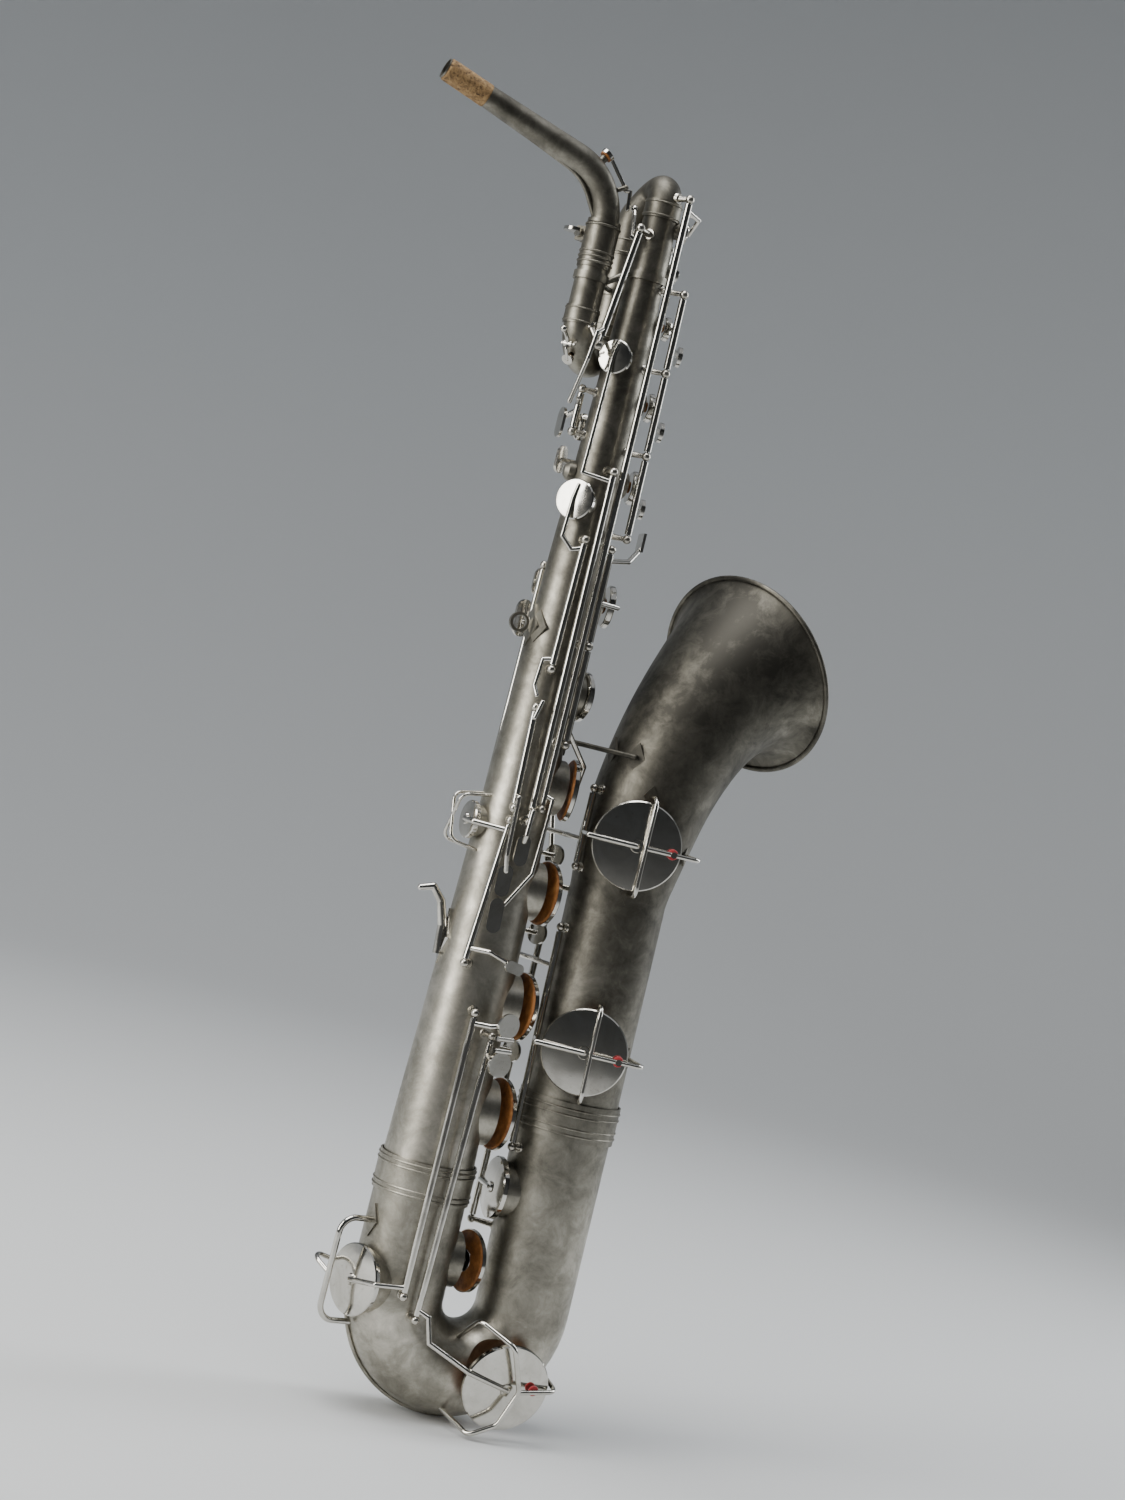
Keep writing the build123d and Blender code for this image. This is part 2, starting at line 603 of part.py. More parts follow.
def make_receiver():
    base = Vector(*LOOP_DOWN, RECEIVER_Z)
    top = Vector(*LOOP_DOWN, RECEIVER_TOP_Z)
    outward = Vector(-0.5, 0.86, 0).normalized()
    side = Vector(0, 0, 1).cross(outward)
    sleeve = cut(rod(base, top, 13.2), rod(base, top, NECK_BASE_R + 0.1))
    socket = cut(rod(base - Vector(0, 0, 8), base, 13.2), rod(base - Vector(0, 0, 8), base, LOOP_R))
    beads = []
    for height in (-4, 0, 4):
        beads.append(Solid.make_torus(13.2, 0.9).moved(Location(base + Vector(0, 0, height))))
    beads.append(Solid.make_torus(13.0, 1.1).moved(Location(top - Vector(0, 0, 1.1))))
    lug_centre = base + outward * 16 + Vector(0, 0, 18)
    lug_plane = Plane(origin=lug_centre, x_dir=outward, z_dir=side)
    lug = extrude(lug_plane * Rectangle(10, 11), 6.0, both=True).solids()[0]
    slit = extrude(Plane(origin=lug_centre, x_dir=outward, z_dir=side) * Rectangle(16, 30), 0.8, both=True)
    screw_hole = rod(lug_centre - side * 8 + outward, lug_centre + side * 8 + outward, 2.05)
    bore = rod(base - Vector(0, 0, 0.01), top + Vector(0, 0, 1), NECK_BASE_R + 0.1)
    low_bore = rod(base - Vector(0, 0, 9), base, LOOP_R)
    whole = fused([sleeve, socket] + beads + [lug])
    save("neck_receiver", cut(whole, bore, low_bore, slit.solids()[0], screw_hole))
    screw_axis = lug_centre + outward
    shank = rod(screw_axis - side * 7.4, screw_axis + side * 9.0, 2.0)
    neck_ring = rod(screw_axis + side * 6.4, screw_axis + side * 9.0, 3.6)
    head_plane = Plane(origin=screw_axis + side * 14.5, x_dir=outward, z_dir=Vector(0, 0, 1))
    head = extrude(head_plane * Ellipse(8.0, 6.0), 1.3, both=True).solids()[0]
    save("receiver_screw", fused([shank, neck_ring, head]))
    HINGES["receiver_screw"] = (screw_axis, side, 360.0)


# ---- fixed fittings -------------------------------------------------------------------------------
def make_strap_ring():
    centre = ORIGIN
    eye = ring(centre, Vector(0, 1, 0), STRAP_RING_R, STRAP_RING_R + STRAP_RING_WIRE, STRAP_RING_LENGTH)
    foot = Vector(-body_radius(STRAP_Z) + 0.8, 0, STRAP_Z)
    base = plate(foot, Vector(-1, 0, 0), Vector(0, 0, 1), 13, 17, 2.2)
    inside = rod(Vector(0, 0, STRAP_Z - 30), Vector(0, 0, STRAP_Z + 30),
                 body_radius(STRAP_Z - 30), body_radius(STRAP_Z + 30))
    bore = rod(centre + Vector(0, -8, 0), centre + Vector(0, 8, 0), STRAP_RING_R)
    wings = []
    for side in (-1, 1):
        wings.append(plate(on_body(180 - 24 * side, STRAP_Z, -0.6), flat(180 - 24 * side), Vector(0, 0, 1),
                           11, 13, 1.8))
    save("strap_ring", cut(fused([eye, base] + wings), inside, bore))


def make_thumb_hook():
    z = 368.0
    points = [on_body(178, z - 14, 1.6), on_body(178, z + 8, 4.0), on_body(178, z + 26, 10.0),
              on_body(178, z + 36, 19.0), on_body(178, z + 33, 29.0)]
    hook = bar(points, 4.2, 2.4)
    base = plate(on_body(178, z, -0.8), flat(178), Vector(0, 0, 1), 9, 22, 2.6)
    inside = rod(Vector(0, 0, z - 60), Vector(0, 0, z + 60), body_radius(z - 60), body_radius(z + 60))
    save("thumb_hook", cut(fused([hook, base]), inside))


def make_thumb_rest():
    z = 742.0
    outward = flat(172)
    start = on_body(172, z, -0.8)
    shoulder = start + outward * 5
    rest = fused([rod(start, shoulder, 8.0, 7.4), rod(shoulder, start + outward * 8, 7.4, 4.2)])
    inside = rod(Vector(0, 0, z - 30), Vector(0, 0, z + 30), body_radius(z - 30), body_radius(z + 30))
    save("thumb_rest", cut(rest, inside))


def make_brace():
    """Two wires from the body tube to the bell tube, spread on the bell side."""
    z = 538.0
    body_foot = on_body(-18, z, 0)
    body_pad = plate(on_body(-18, z, -0.5), flat(-18), Vector(0, 0, 1), 7, 12, 2.0)
    wires = [body_pad]
    for angle in (-128, -176):
        foot = on_bell(angle, z)
        outward = flat(angle)
        wires.append(bar([body_foot, foot + outward * 6, foot], 2.0))
        wires.append(plate(on_bell(angle, z, -0.5), outward, Vector(0, 0, 1), 7, 12, 2.0))
    inside_body = rod(Vector(0, 0, z - 40), Vector(0, 0, z + 40), body_radius(z - 40), body_radius(z + 40))
    save("bell_brace", cut(fused(wires), inside_body, bell_flare(0.0)))


# ---- hinge lines -------------------------------------------------------------------------------------
def body_line(top_angle, top_z, top_height, bottom_angle, bottom_z, bottom_height):
    return Line(on_body(top_angle, top_z, top_height), on_body(bottom_angle, bottom_z, bottom_height))


LOOP_MIDDLE = Vector((LOOP_UP[0] + LOOP_DOWN[0]) / 2, (LOOP_UP[1] + LOOP_DOWN[1]) / 2, LOOP_BEND_Z)
LOOP_SPAN = Vector(*LOOP_DOWN, LOOP_BEND_Z) - LOOP_MIDDLE
DRAIN_OUT = (LOOP_SPAN.normalized() - Vector(0, 0, 1)).normalized()
DRAIN_TIP = LOOP_MIDDLE + DRAIN_OUT * (LOOP_SPAN.length + LOOP_R + 3.8)

LINES = {
    "high_e": Line(Vector(12.4, -20.8, 967), Vector(8.0, -38.0, 482)),
    "side_c": Line(Vector(1.5, -31.0, 747), Vector(0.2, -38.8, 470)),
    "side_b_flat": body_line(-104, 691, 11, -107, 588, 11),
    "side_lever": Line(Vector(-15.4, -34.7, 557), Vector(-14.5, -38.7, 478)),
    "upper_stack": Line(Vector(26.0, -22.0, 895), Vector(27.5, -24.5, 700)),
    "middle_stack": body_line(-60, 689, 11, -65, 534, 11),
    "g_sharp": body_line(66, 636, 11, 66, 544, 11),
    "lower_stack": body_line(47, 466, 13, 47, 204, 13),
    "fork_e_flat": Line(Vector(38, 36, 156), Vector(38, 36, 92)),
    "trill": Line(Vector(-13.7, -35.4, 468), Vector(-22.1, -34.6, 354)),
    "low_e_flat": Line(Vector(-6.5, -42.6, 319), Vector(-9.1, -45.7, 96)),
    "low_c": Line(Vector(11.6, -41.9, 304), Vector(4.6, -46.4, 80)),
    "low_b": Line(Vector(58.5, -6.0, 395), Vector(60.3, -12.0, 219)),
    "low_b_flat": Line(Vector(56.8, -9.0, 507), Vector(57.6, -8.0, 444)),
    "low_c_sharp": Line(Vector(58.0, 31.0, 424), Vector(58.0, 31.0, 150)),
    "b_lever": body_line(92, 668, 10, 92, 352, 10),
    "b_flat_lever": body_line(118, 668, 10, 112, 436, 10),
    "octave_rod": Line(Vector(-22.0, -23.0, 934), Vector(-33.0, -24.5, 838)),
    "octave_thumb": Line(Vector(-28.5, 1.5, 806), Vector(-28.5, 1.5, 772)),
    "palm_f": body_line(38, 932, 10, 38, 897, 10),
    "palm_e_flat": body_line(76, 898, 10, 76, 776, 10),
    "palm_d": body_line(98, 811, 10, 98, 740, 10),
}


def make_posts():
    body = [body_post(LINES["high_e"], z) for z in (967, 482)]
    body += [body_post(LINES["side_c"], z) for z in (747, 470)]
    body += [body_post(LINES["side_b_flat"], z) for z in (691, 588)]
    body += [body_post(LINES["side_lever"], z) for z in (557, 478)]
    body += [body_post(LINES["upper_stack"], z) for z in (895, 832, 766, 700)]
    body += [body_post(LINES["middle_stack"], z) for z in (689, 612, 534)]
    body += [body_post(LINES["g_sharp"], z) for z in (636, 544)]
    body += [body_post(LINES["lower_stack"], z) for z in (466, 393, 300, 204)]
    body += [body_post(LINES["trill"], z) for z in (468, 354)]
    body += [body_post(LINES["low_e_flat"], z) for z in (319,)]
    body += [body_post(LINES["low_c"], z) for z in (304,)]
    body += [body_post(LINES["b_lever"], z) for z in (668, 352)]
    body += [body_post(LINES["b_flat_lever"], z) for z in (668, 436)]
    body += [body_post(LINES["palm_f"], z) for z in (932, 897)]
    body += [body_post(LINES["palm_e_flat"], z) for z in (898, 776)]
    body += [body_post(LINES["palm_d"], z) for z in (811, 740)]
    body += [body_post(LINES["octave_thumb"], z) for z in (806, 772)]
    body.append(body_post(LINES["octave_rod"], 934))

    down_axis = Vector(*LOOP_DOWN, 0)
    low_ball = LINES["octave_rod"].at(838)
    toward = (low_ball - down_axis - Vector(0, 0, low_ball.Z)).normalized()
    loop_foot = down_axis + toward * LOOP_R + Vector(0, 0, 851)
    bell = [bell_post(LINES["low_b"], z) for z in (395, 219)]
    bell += [bell_post(LINES["low_b_flat"], z) for z in (507, 444)]
    bell += [bell_post(LINES["low_c_sharp"], z) for z in (424, 150)]
    bow = [body_post(LINES["low_e_flat"], 96), body_post(LINES["low_c"], 80)]
    bow += [body_post(LINES["fork_e_flat"], z) for z in (156, 92)]
    bow.append(post(LINES["octave_rod"], 838, loop_foot))
    save("posts", *body, *bell, *bow)
    save("hinge_steels", *[line.steel() for line in LINES.values()])


# ---- keys ------------------------------------------------------------------------------------
def cup_key(name, line_name, span, hole_name, travel, sign, opened=0.0, extra=(), soft_extra=(),
            pad_node=None, arm_z=None):
    """Key with one hinge tube, one arm and one cup over its tone hole."""
    line = LINES[line_name]
    hole = HOLES[hole_name]
    metal_cup, soft = cup_and_pad(hole.seat, hole.outward, hole.cup)
    low_z, high_z = span
    top = cup_top(hole.seat, hole.outward, hole.cup)
    root = line.at(arm_z if arm_z is not None else min(max(hole.seat.Z, low_z + 4), high_z - 4))
    arm = bar([root, cup_shoulder(hole.seat, hole.outward, hole.cup, root), top], 2.1)
    metal = [line.tube(low_z, high_z), metal_cup, arm, cup_boss(top, hole.outward)] + list(extra)
    finish_key(name, line, metal, soft + list(soft_extra), travel, sign, opened, pad_node)


def make_side_keys():
    gap = BALL_R + END_GAP
    line = LINES["high_e"]
    outward = HOLES["high_e"].outward
    top = cup_top(HOLES["high_e"].seat, outward, HOLES["high_e"].cup)
    touch_out = flat(-103)
    touch = touch_plate(on_body(-103, 395, 13), touch_out, Vector(-0.04, 0.02, 1), 13.5, 5.6)
    lever = bar([line.at(493), Vector(13.4, -42, 491), Vector(12.6, -43, 472), Vector(11.0, -43, 432),
                 on_body(-97, 404, 13.6)], 1.7)
    hook = bar([line.at(958), Vector(26, -14, 955), top], 2.0, 1.6)
    metal_cup, soft = cup_and_pad(HOLES["high_e"].seat, outward, HOLES["high_e"].cup)
    finish_key("high_e_key", line, [line.tube(482 + gap, 967 - gap), lever, touch, hook, metal_cup],
               soft, 9.0, -1.0)

    line = LINES["side_c"]
    hole = HOLES["side_c"]
    metal_cup, soft = cup_and_pad(hole.seat, hole.outward, hole.cup)
    top = cup_top(hole.seat, hole.outward, hole.cup)
    corner = on_body(-131, 741, 12)
    long_arm = bar([line.at(739), corner, top, top + Vector(1.5, 0, 9)], 1.9, 1.6)
    touch = touch_plate(on_body(-92, 448, 13), flat(-92), Vector(0, 0, 1), 12.0, 5.4)
    lever = bar([line.at(481), Vector(-1.0, -45.6, 479), Vector(-1.5, -45.4, 460),
                 on_body(-92, 455, 14.5)], 2.0)
    finish_key("side_c_key", line, [line.tube(470 + gap, 747 - gap), metal_cup, long_arm, touch, lever],
               soft, 9.0, 1.0)

    line = LINES["side_b_flat"]
    hole = HOLES["side_b_flat"]
    metal_cup, soft = cup_and_pad(hole.seat, hole.outward, hole.cup)
    top = cup_top(hole.seat, hole.outward, hole.cup)
    hooked = bar([line.at(684), on_body(-119, 681, 12.5), on_body(-135, 690, 13.5), top,
                  top + Vector(2, 0, 11)], 2.0, 1.6)
    link = bar([line.at(596), on_body(-120, 594, 12), on_body(-122, 573, 12.5),
                on_body(-116, 566, 14)], 1.8)
    finish_key("side_b_flat_key", line, [line.tube(588 + gap, 691 - gap), metal_cup, hooked, link],
               soft, 9.0, 1.0)

    line = LINES["side_lever"]
    touch = touch_plate(on_body(-103, 422.5, 13), flat(-103), Vector(0, 0, 1), 12.4, 5.6)
    drop = bar([line.at(488), on_body(-108, 487, 20.8), on_body(-106, 442, 17.5),
                on_body(-103, 430, 14.6)], 1.9)
    horn = bar([line.at(548), on_body(-112, 549, 17), on_body(-108, 562, 17.5)], 1.7)
    parts = [line.tube(478 + gap, 557 - gap), touch, drop, horn]
    finish_key("side_b_flat_lever", line, parts, (), 9.0, 1.0)


def make_upper_stack():
    gap = BALL_R + END_GAP
    pearls = {"b": 851, "a": 790, "c": 728}
    spans = {"b": (832 + gap, 895 - gap), "a": (766 + gap, 832 - gap), "c": (700 + gap, 766 - gap)}
    for name, pearl_z in pearls.items():
        line = LINES["upper_stack"]
        centre = Vector(37.0, 4.0, pearl_z)
        holder, pearl = pearl_touch(centre, Vector(1, 0, 0), 8.0)
        lever = bar([line.at(pearl_z), Vector(33, -12, pearl_z), centre + Vector(1, 0, 0)], 2.1)
        cup_key(f"{name}_key", "upper_stack", spans[name], name, 9.0, 1.0, 9.0, (holder, lever), (pearl,))

    line = LINES["middle_stack"]
    plate_centre = Vector(43.0, 2.0, 702)
    paddle = extrude(Plane(origin=plate_centre, z_dir=(1, 0, 0)) * Rectangle(15, 19), 2.2).solids()[0]
    lever = bar([line.at(680), Vector(34, -16, 684), Vector(43.8, -3, 697)], 2.1)
    cup_key("g_key", "middle_stack", (612 + gap, 689 - gap), "g", 8.0, 1.0, 8.0, (paddle, lever))

    line = LINES["g_sharp"]
    touch = touch_plate(on_body(112, 624, 22), flat(112), Vector(0, 0, 1), 15, 8)
    lever = bar([line.at(619), on_body(89, 619, 20.6), on_body(110, 621, 22.8)], 2.1)
    cup_key("g_sharp_key", "g_sharp", (544 + gap, 636 - gap), "g_sharp", 9.0, 1.0, 0.0, (touch, lever))


def make_lower_stack():
    gap = BALL_R + END_GAP
    cup_key("f_sharp_key", "middle_stack", (534 + gap, 612 - gap), "f_sharp", 8.0, 1.0, 8.0,
            pad_node="f_sharp_pad", arm_z=545)
    spans = {"f": (393 + gap, 466 - gap), "e": (300 + gap, 393 - gap), "d": (204 + gap, 300 - gap)}
    pearls = {"f": 447, "e": 384, "d": 288}
    for name, span in spans.items():
        line = LINES["lower_stack"]
        z = pearls[name]
        holder, pearl = pearl_touch(on_body(22, z, 22), flat(22), 9.0)
        lever = bar([line.at(z), on_body(32, z, 20), on_body(22, z, 22.8)], 2.1)
        cup_key(f"{name}_key", "lower_stack", span, name, 8.0, -1.0, 8.0, (holder, lever), (pearl,),
                f"{name}_pad")
    cup_key("fork_e_flat_key", "fork_e_flat", (92 + gap, 156 - gap), "fork_e_flat", 13.0, -1.0, 13.0,
            pad_node="fork_e_flat_pad")


def make_trill_key():
    gap = BALL_R + END_GAP
    line = LINES["trill"]
    spoon = touch_plate(Vector(14, -44.5, 359), flat(-72), Vector(0.8, 0.3, -0.15), 9, 4.5)
    lever = bar([line.at(366), Vector(-8, -46, 367), Vector(10, -46, 361)], 2.1, 1.8)
    cup_key("f_sharp_trill_key", "trill", (354 + gap, 468 - gap), "f_sharp_trill", 8.0, 1.0, 0.0,
            (spoon, lever))


def make_little_finger_keys():
    gap = BALL_R + END_GAP
    line = LINES["low_e_flat"]
    face = flat(-66)
    along = Vector(0, 0, 1).cross(face)
    lobe = touch_plate(Vector(19, -49.5, 315), face, along, 10.5, 9.5)
    roller_middle = Vector(19, -49.5, 304.6) + face * 0.6
    roller = rod(roller_middle - along * 8, roller_middle + along * 8, 2.2)
    lever = bar([line.at(311), Vector(6, -50.5, 312), Vector(14, -51, 314)], 2.2)
    cup_key("low_e_flat_key", "low_e_flat", (96 + gap, 319 - gap), "low_e_flat", 8.0, 1.0, 0.0,
            (lobe, lever, roller), arm_z=103)

    line = LINES["low_c"]
    lobe = touch_plate(Vector(19, -51.5, 285), face, along, 10.5, 9.5)
    roller_middle = Vector(19, -51.5, 295.4) + face * 0.6
    roller = rod(roller_middle - along * 8, roller_middle + along * 8, 2.2)
    lever = bar([line.at(290), Vector(14, -52.5, 286)], 2.2)
    metal_cup, soft = cup_and_pad(LOW_C_SEAT, LOW_C_OUT, LOW_C_CUP)
    top = cup_top(LOW_C_SEAT, LOW_C_OUT, LOW_C_CUP)
    shoulder = cup_shoulder(LOW_C_SEAT, LOW_C_OUT, LOW_C_CUP, Vector(17, -52.5, 60))
    curve = bar([line.at(88), Vector(13, -51, 85), Vector(18, -53, 66), shoulder, top], 2.2)
    boss = cup_boss(top, LOW_C_OUT, 5.5)
    parts = [line.tube(80 + gap, 304 - gap), lobe, roller, lever, metal_cup, curve, boss]
    finish_key("low_c_key", line, parts,
               soft, 4.2, 1.0, 4.2, "low_c_pad")


FINGER_REACH = Vector(-10.6, 19.0, 0)      # from a bell key's hinge line to the end of its finger
FOOT_OFFSET = Vector(7.2, 3.2, 0)          # from the closed key's finger end to the waiting lever's foot


def make_bell_keys():
    gap = BALL_R + END_GAP
    for name, ends, finger_z in (("low_b", (219, 395), 364), ("low_b_flat", (444, 507), 466)):
        line = LINES[name]
        hole = HOLES[name]
        metal_cup, soft = cup_and_pad(hole.seat, hole.outward, hole.cup)
        top = cup_top(hole.seat, hole.outward, hole.cup)
        side = Vector(0, 0, 1).cross(hole.outward)
        z = hole.seat.Z
        arm = bar([line.at(z), top - side * 38 + hole.outward * 2.5, top + hole.outward * 0.6], 2.2)
        boss = cup_boss(top, hole.outward, 5.5)
        finger = bar([line.at(finger_z), line.at(finger_z) + FINGER_REACH], 2.0)
        parts = [line.tube(ends[0] + gap, ends[1] - gap), metal_cup, arm, boss, finger]
        finish_key(f"{name}_key", line, parts, soft, 9.0, 1.0, 9.0, f"{name}_pad")

    line = LINES["low_c_sharp"]
    touch = touch_plate(Vector(19, 55, 596), Vector(0.3, 0.95, 0), Vector(0, 0, 1), 14, 8)
    lever = bar([line.at(412), Vector(57, 38.2, 414), Vector(56, 40, 434), Vector(49, 50, 480),
                 Vector(20, 56.4, 592)], 2.2)
    cup_key("low_c_sharp_key", "low_c_sharp", (150 + gap, 424 - gap), "low_c_sharp", 7.0, -1.0, 0.0,
            (touch, lever))

    line = LINES["b_lever"]
    touch = touch_plate(on_body(78, 642, 22), flat(78), Vector(0, 0, 1), 15, 7.5)
    reach = bar([line.at(642), on_body(84, 642, 20), on_body(78, 642, 22.8)], 2.1)
    foot_end = LINES["low_b"].at(364) + FINGER_REACH + FOOT_OFFSET
    foot = bar([line.at(364), on_body(70, 364, 20), on_body(38, 364, 26), foot_end], 2.1)
    finish_key("low_b_lever", line, [line.tube(352 + gap, 668 - gap), touch, reach, foot], (), 4.0, -1.0)

    line = LINES["b_flat_lever"]
    touch = touch_plate(on_body(100, 655, 24), flat(100), Vector(0, 0, 1), 12, 7)
    reach = bar([line.at(655), on_body(106, 655, 22), on_body(100, 655, 24.8)], 2.1)
    foot_end = LINES["low_b_flat"].at(466) + FINGER_REACH + FOOT_OFFSET
    foot = bar([line.at(466), on_body(88, 466, 22), on_body(50, 466, 26), foot_end], 2.1)
    parts = [line.tube(436 + gap, 668 - gap), touch, reach, foot]
    finish_key("low_b_flat_lever", line, parts, (), 3.8, -1.0)


def make_palm_keys():
    gap = BALL_R + END_GAP
    for name, touch_angle, ends, lever_z, height in (("palm_f", 62, (897, 932), 904, 21),
                                                     ("palm_e_flat", 102, (776, 898), 790, 22)):
        line = LINES[name]
        middle = on_body(touch_angle, lever_z - 8, height)
        touch = touch_plate(middle, flat(touch_angle), Vector(0, 0, 1), 11, 6)
        lever = bar([line.at(lever_z), on_body(touch_angle, lever_z, height + 0.8)], 2.1)
        cup_key(f"{name}_key", name, (ends[0] + gap, ends[1] - gap), name, 9.0, 1.0, 0.0, (touch, lever))

    line = LINES["palm_d"]
    hole = HOLES["palm_d"]
    metal_cup, soft = cup_and_pad(hole.seat, hole.outward, hole.cup)
    top = cup_top(hole.seat, hole.outward, hole.cup)
    over = bar([line.at(803), on_body(93, 803, 17.5), on_body(72, 822, 18), top], 1.9)
    boss = cup_boss(top, hole.outward)
    touch = touch_plate(on_body(124, 752, 18), flat(124), Vector(0, 0, 1), 11, 6)
    lever = bar([line.at(752), on_body(124, 752, 18.8)], 2.1)
    finish_key("palm_d_key", line, [line.tube(740 + gap, 811 - gap), metal_cup, over, boss, touch, lever],
               soft, 10.0, 1.0)


def make_octave_keys(saddle_pin, pip_top, pip_out):
    line = LINES["octave_rod"]
    gap = BALL_R + END_GAP
    knob_centre = Vector(-24.6, -6, 950)
    upper = bar([line.at(924), Vector(-24.5, -15.5, 927), Vector(-24.5, -10, 944), knob_centre], 1.8)
    lower = bar([line.at(852), Vector(-38.0, -29.5, 847), Vector(-39.5, -27, 826),
                 Vector(-41.5, -14, 792)], 1.8)
    finish_key("octave_rod_key", line,
               [line.tube(846, 934 - gap), upper, lower, ball(knob_centre, 3.0)], (), 9.0, 1.0)

    line = LINES["octave_thumb"]
    touch = touch_plate(Vector(-34, 14, 778), Vector(-1, 0, 0), Vector(0, 0, 1), 12, 7)
    front = bar([line.at(789), Vector(-34.5, 12, 782)], 2.1)
    rear = bar([line.at(794), Vector(-35.0, -14, 796)], 1.9)
    parts = [line.tube(772 + gap, 806 - gap), touch, front, rear]
    finish_key("octave_thumb_key", line, parts, (), 9.0, -1.0)

    knuckle = rod(saddle_pin + Vector(0, -1.9, 0), saddle_pin + Vector(0, 1.9, 0), 2.6)
    pad_seat = pip_top + pip_out * SEAT_GAP
    metal_cup = cut(rod(pad_seat + pip_out * 1.0, pad_seat + pip_out * 4.0, 5.6),
                    rod(pad_seat + pip_out * 1.0, pad_seat + pip_out * 3.0, 4.9))
    pad = rod(pad_seat, pad_seat + pip_out * 3.0, 4.9)
    pad_arm = bar([saddle_pin + Vector(0.5, 0, 1.0), pad_seat + pip_out * 4.2], 1.6)
    tail = bar([saddle_pin + Vector(1.2, 0, -1.5), Vector(-31.6, -6, 962), Vector(-30.2, -6, 948)], 1.6)
    key = cut(fused([knuckle, metal_cup, pad_arm, tail]),
              rod(saddle_pin - Vector(0, 5, 0), saddle_pin + Vector(0, 5, 0), 1.05))
    save("neck_octave_key", key, pad)
    HINGES["neck_octave_key"] = (saddle_pin, Vector(0, 1, 0), 8.0)


def make_water_key():
    """Sprung lever that holds a cork over the drain of the loop's low bend."""
    axis = DRAIN_OUT.cross(Vector(0, 0, 1)).normalized()
    up = axis.cross(DRAIN_OUT)
    pivot = DRAIN_TIP - DRAIN_OUT * 1.0 + up * 11.5
    tube = rod(pivot - axis * 3.2, pivot + axis * 3.2, 2.3)
    cup_base = DRAIN_TIP + DRAIN_OUT * SEAT_GAP
    cup = rod(cup_base + DRAIN_OUT * 1.4, cup_base + DRAIN_OUT * 3.6, 4.4)
    cork = rod(cup_base, cup_base + DRAIN_OUT * 1.4, 4.0)
    thumb_end = pivot + DRAIN_OUT * 4.0 + up * 16
    arm = bar([pivot, pivot + DRAIN_OUT * 4.0 - up * 2, cup_base + DRAIN_OUT * 3.0], 1.5)
    thumb = bar([pivot, pivot + DRAIN_OUT * 1.0 + up * 8, thumb_end], 1.5)
    bore = rod(pivot - axis * 9, pivot + axis * 9, 1.05)
    key = cut(fused([tube, cup, arm, thumb, ball(thumb_end, 2.6)]), bore)
    save("water_key", key, cork)
    HINGES["water_key"] = (pivot, axis, 12.0)
    ears = []
    for side in (-1, 1):
        centre = pivot + axis * (4.4 * side)
        ears.append(fused([rod(centre - DRAIN_OUT * 9, centre, 1.2), ball(centre, 1.1)]))
    pin = rod(pivot - axis * 5.6, pivot + axis * 5.6, 1.0)
    loop_tube = u_bend(LOOP_UP, LOOP_DOWN, LOOP_BEND_Z, LOOP_R, False)
    save("water_key_saddle", cut(fused(ears + [pin]), loop_tube))


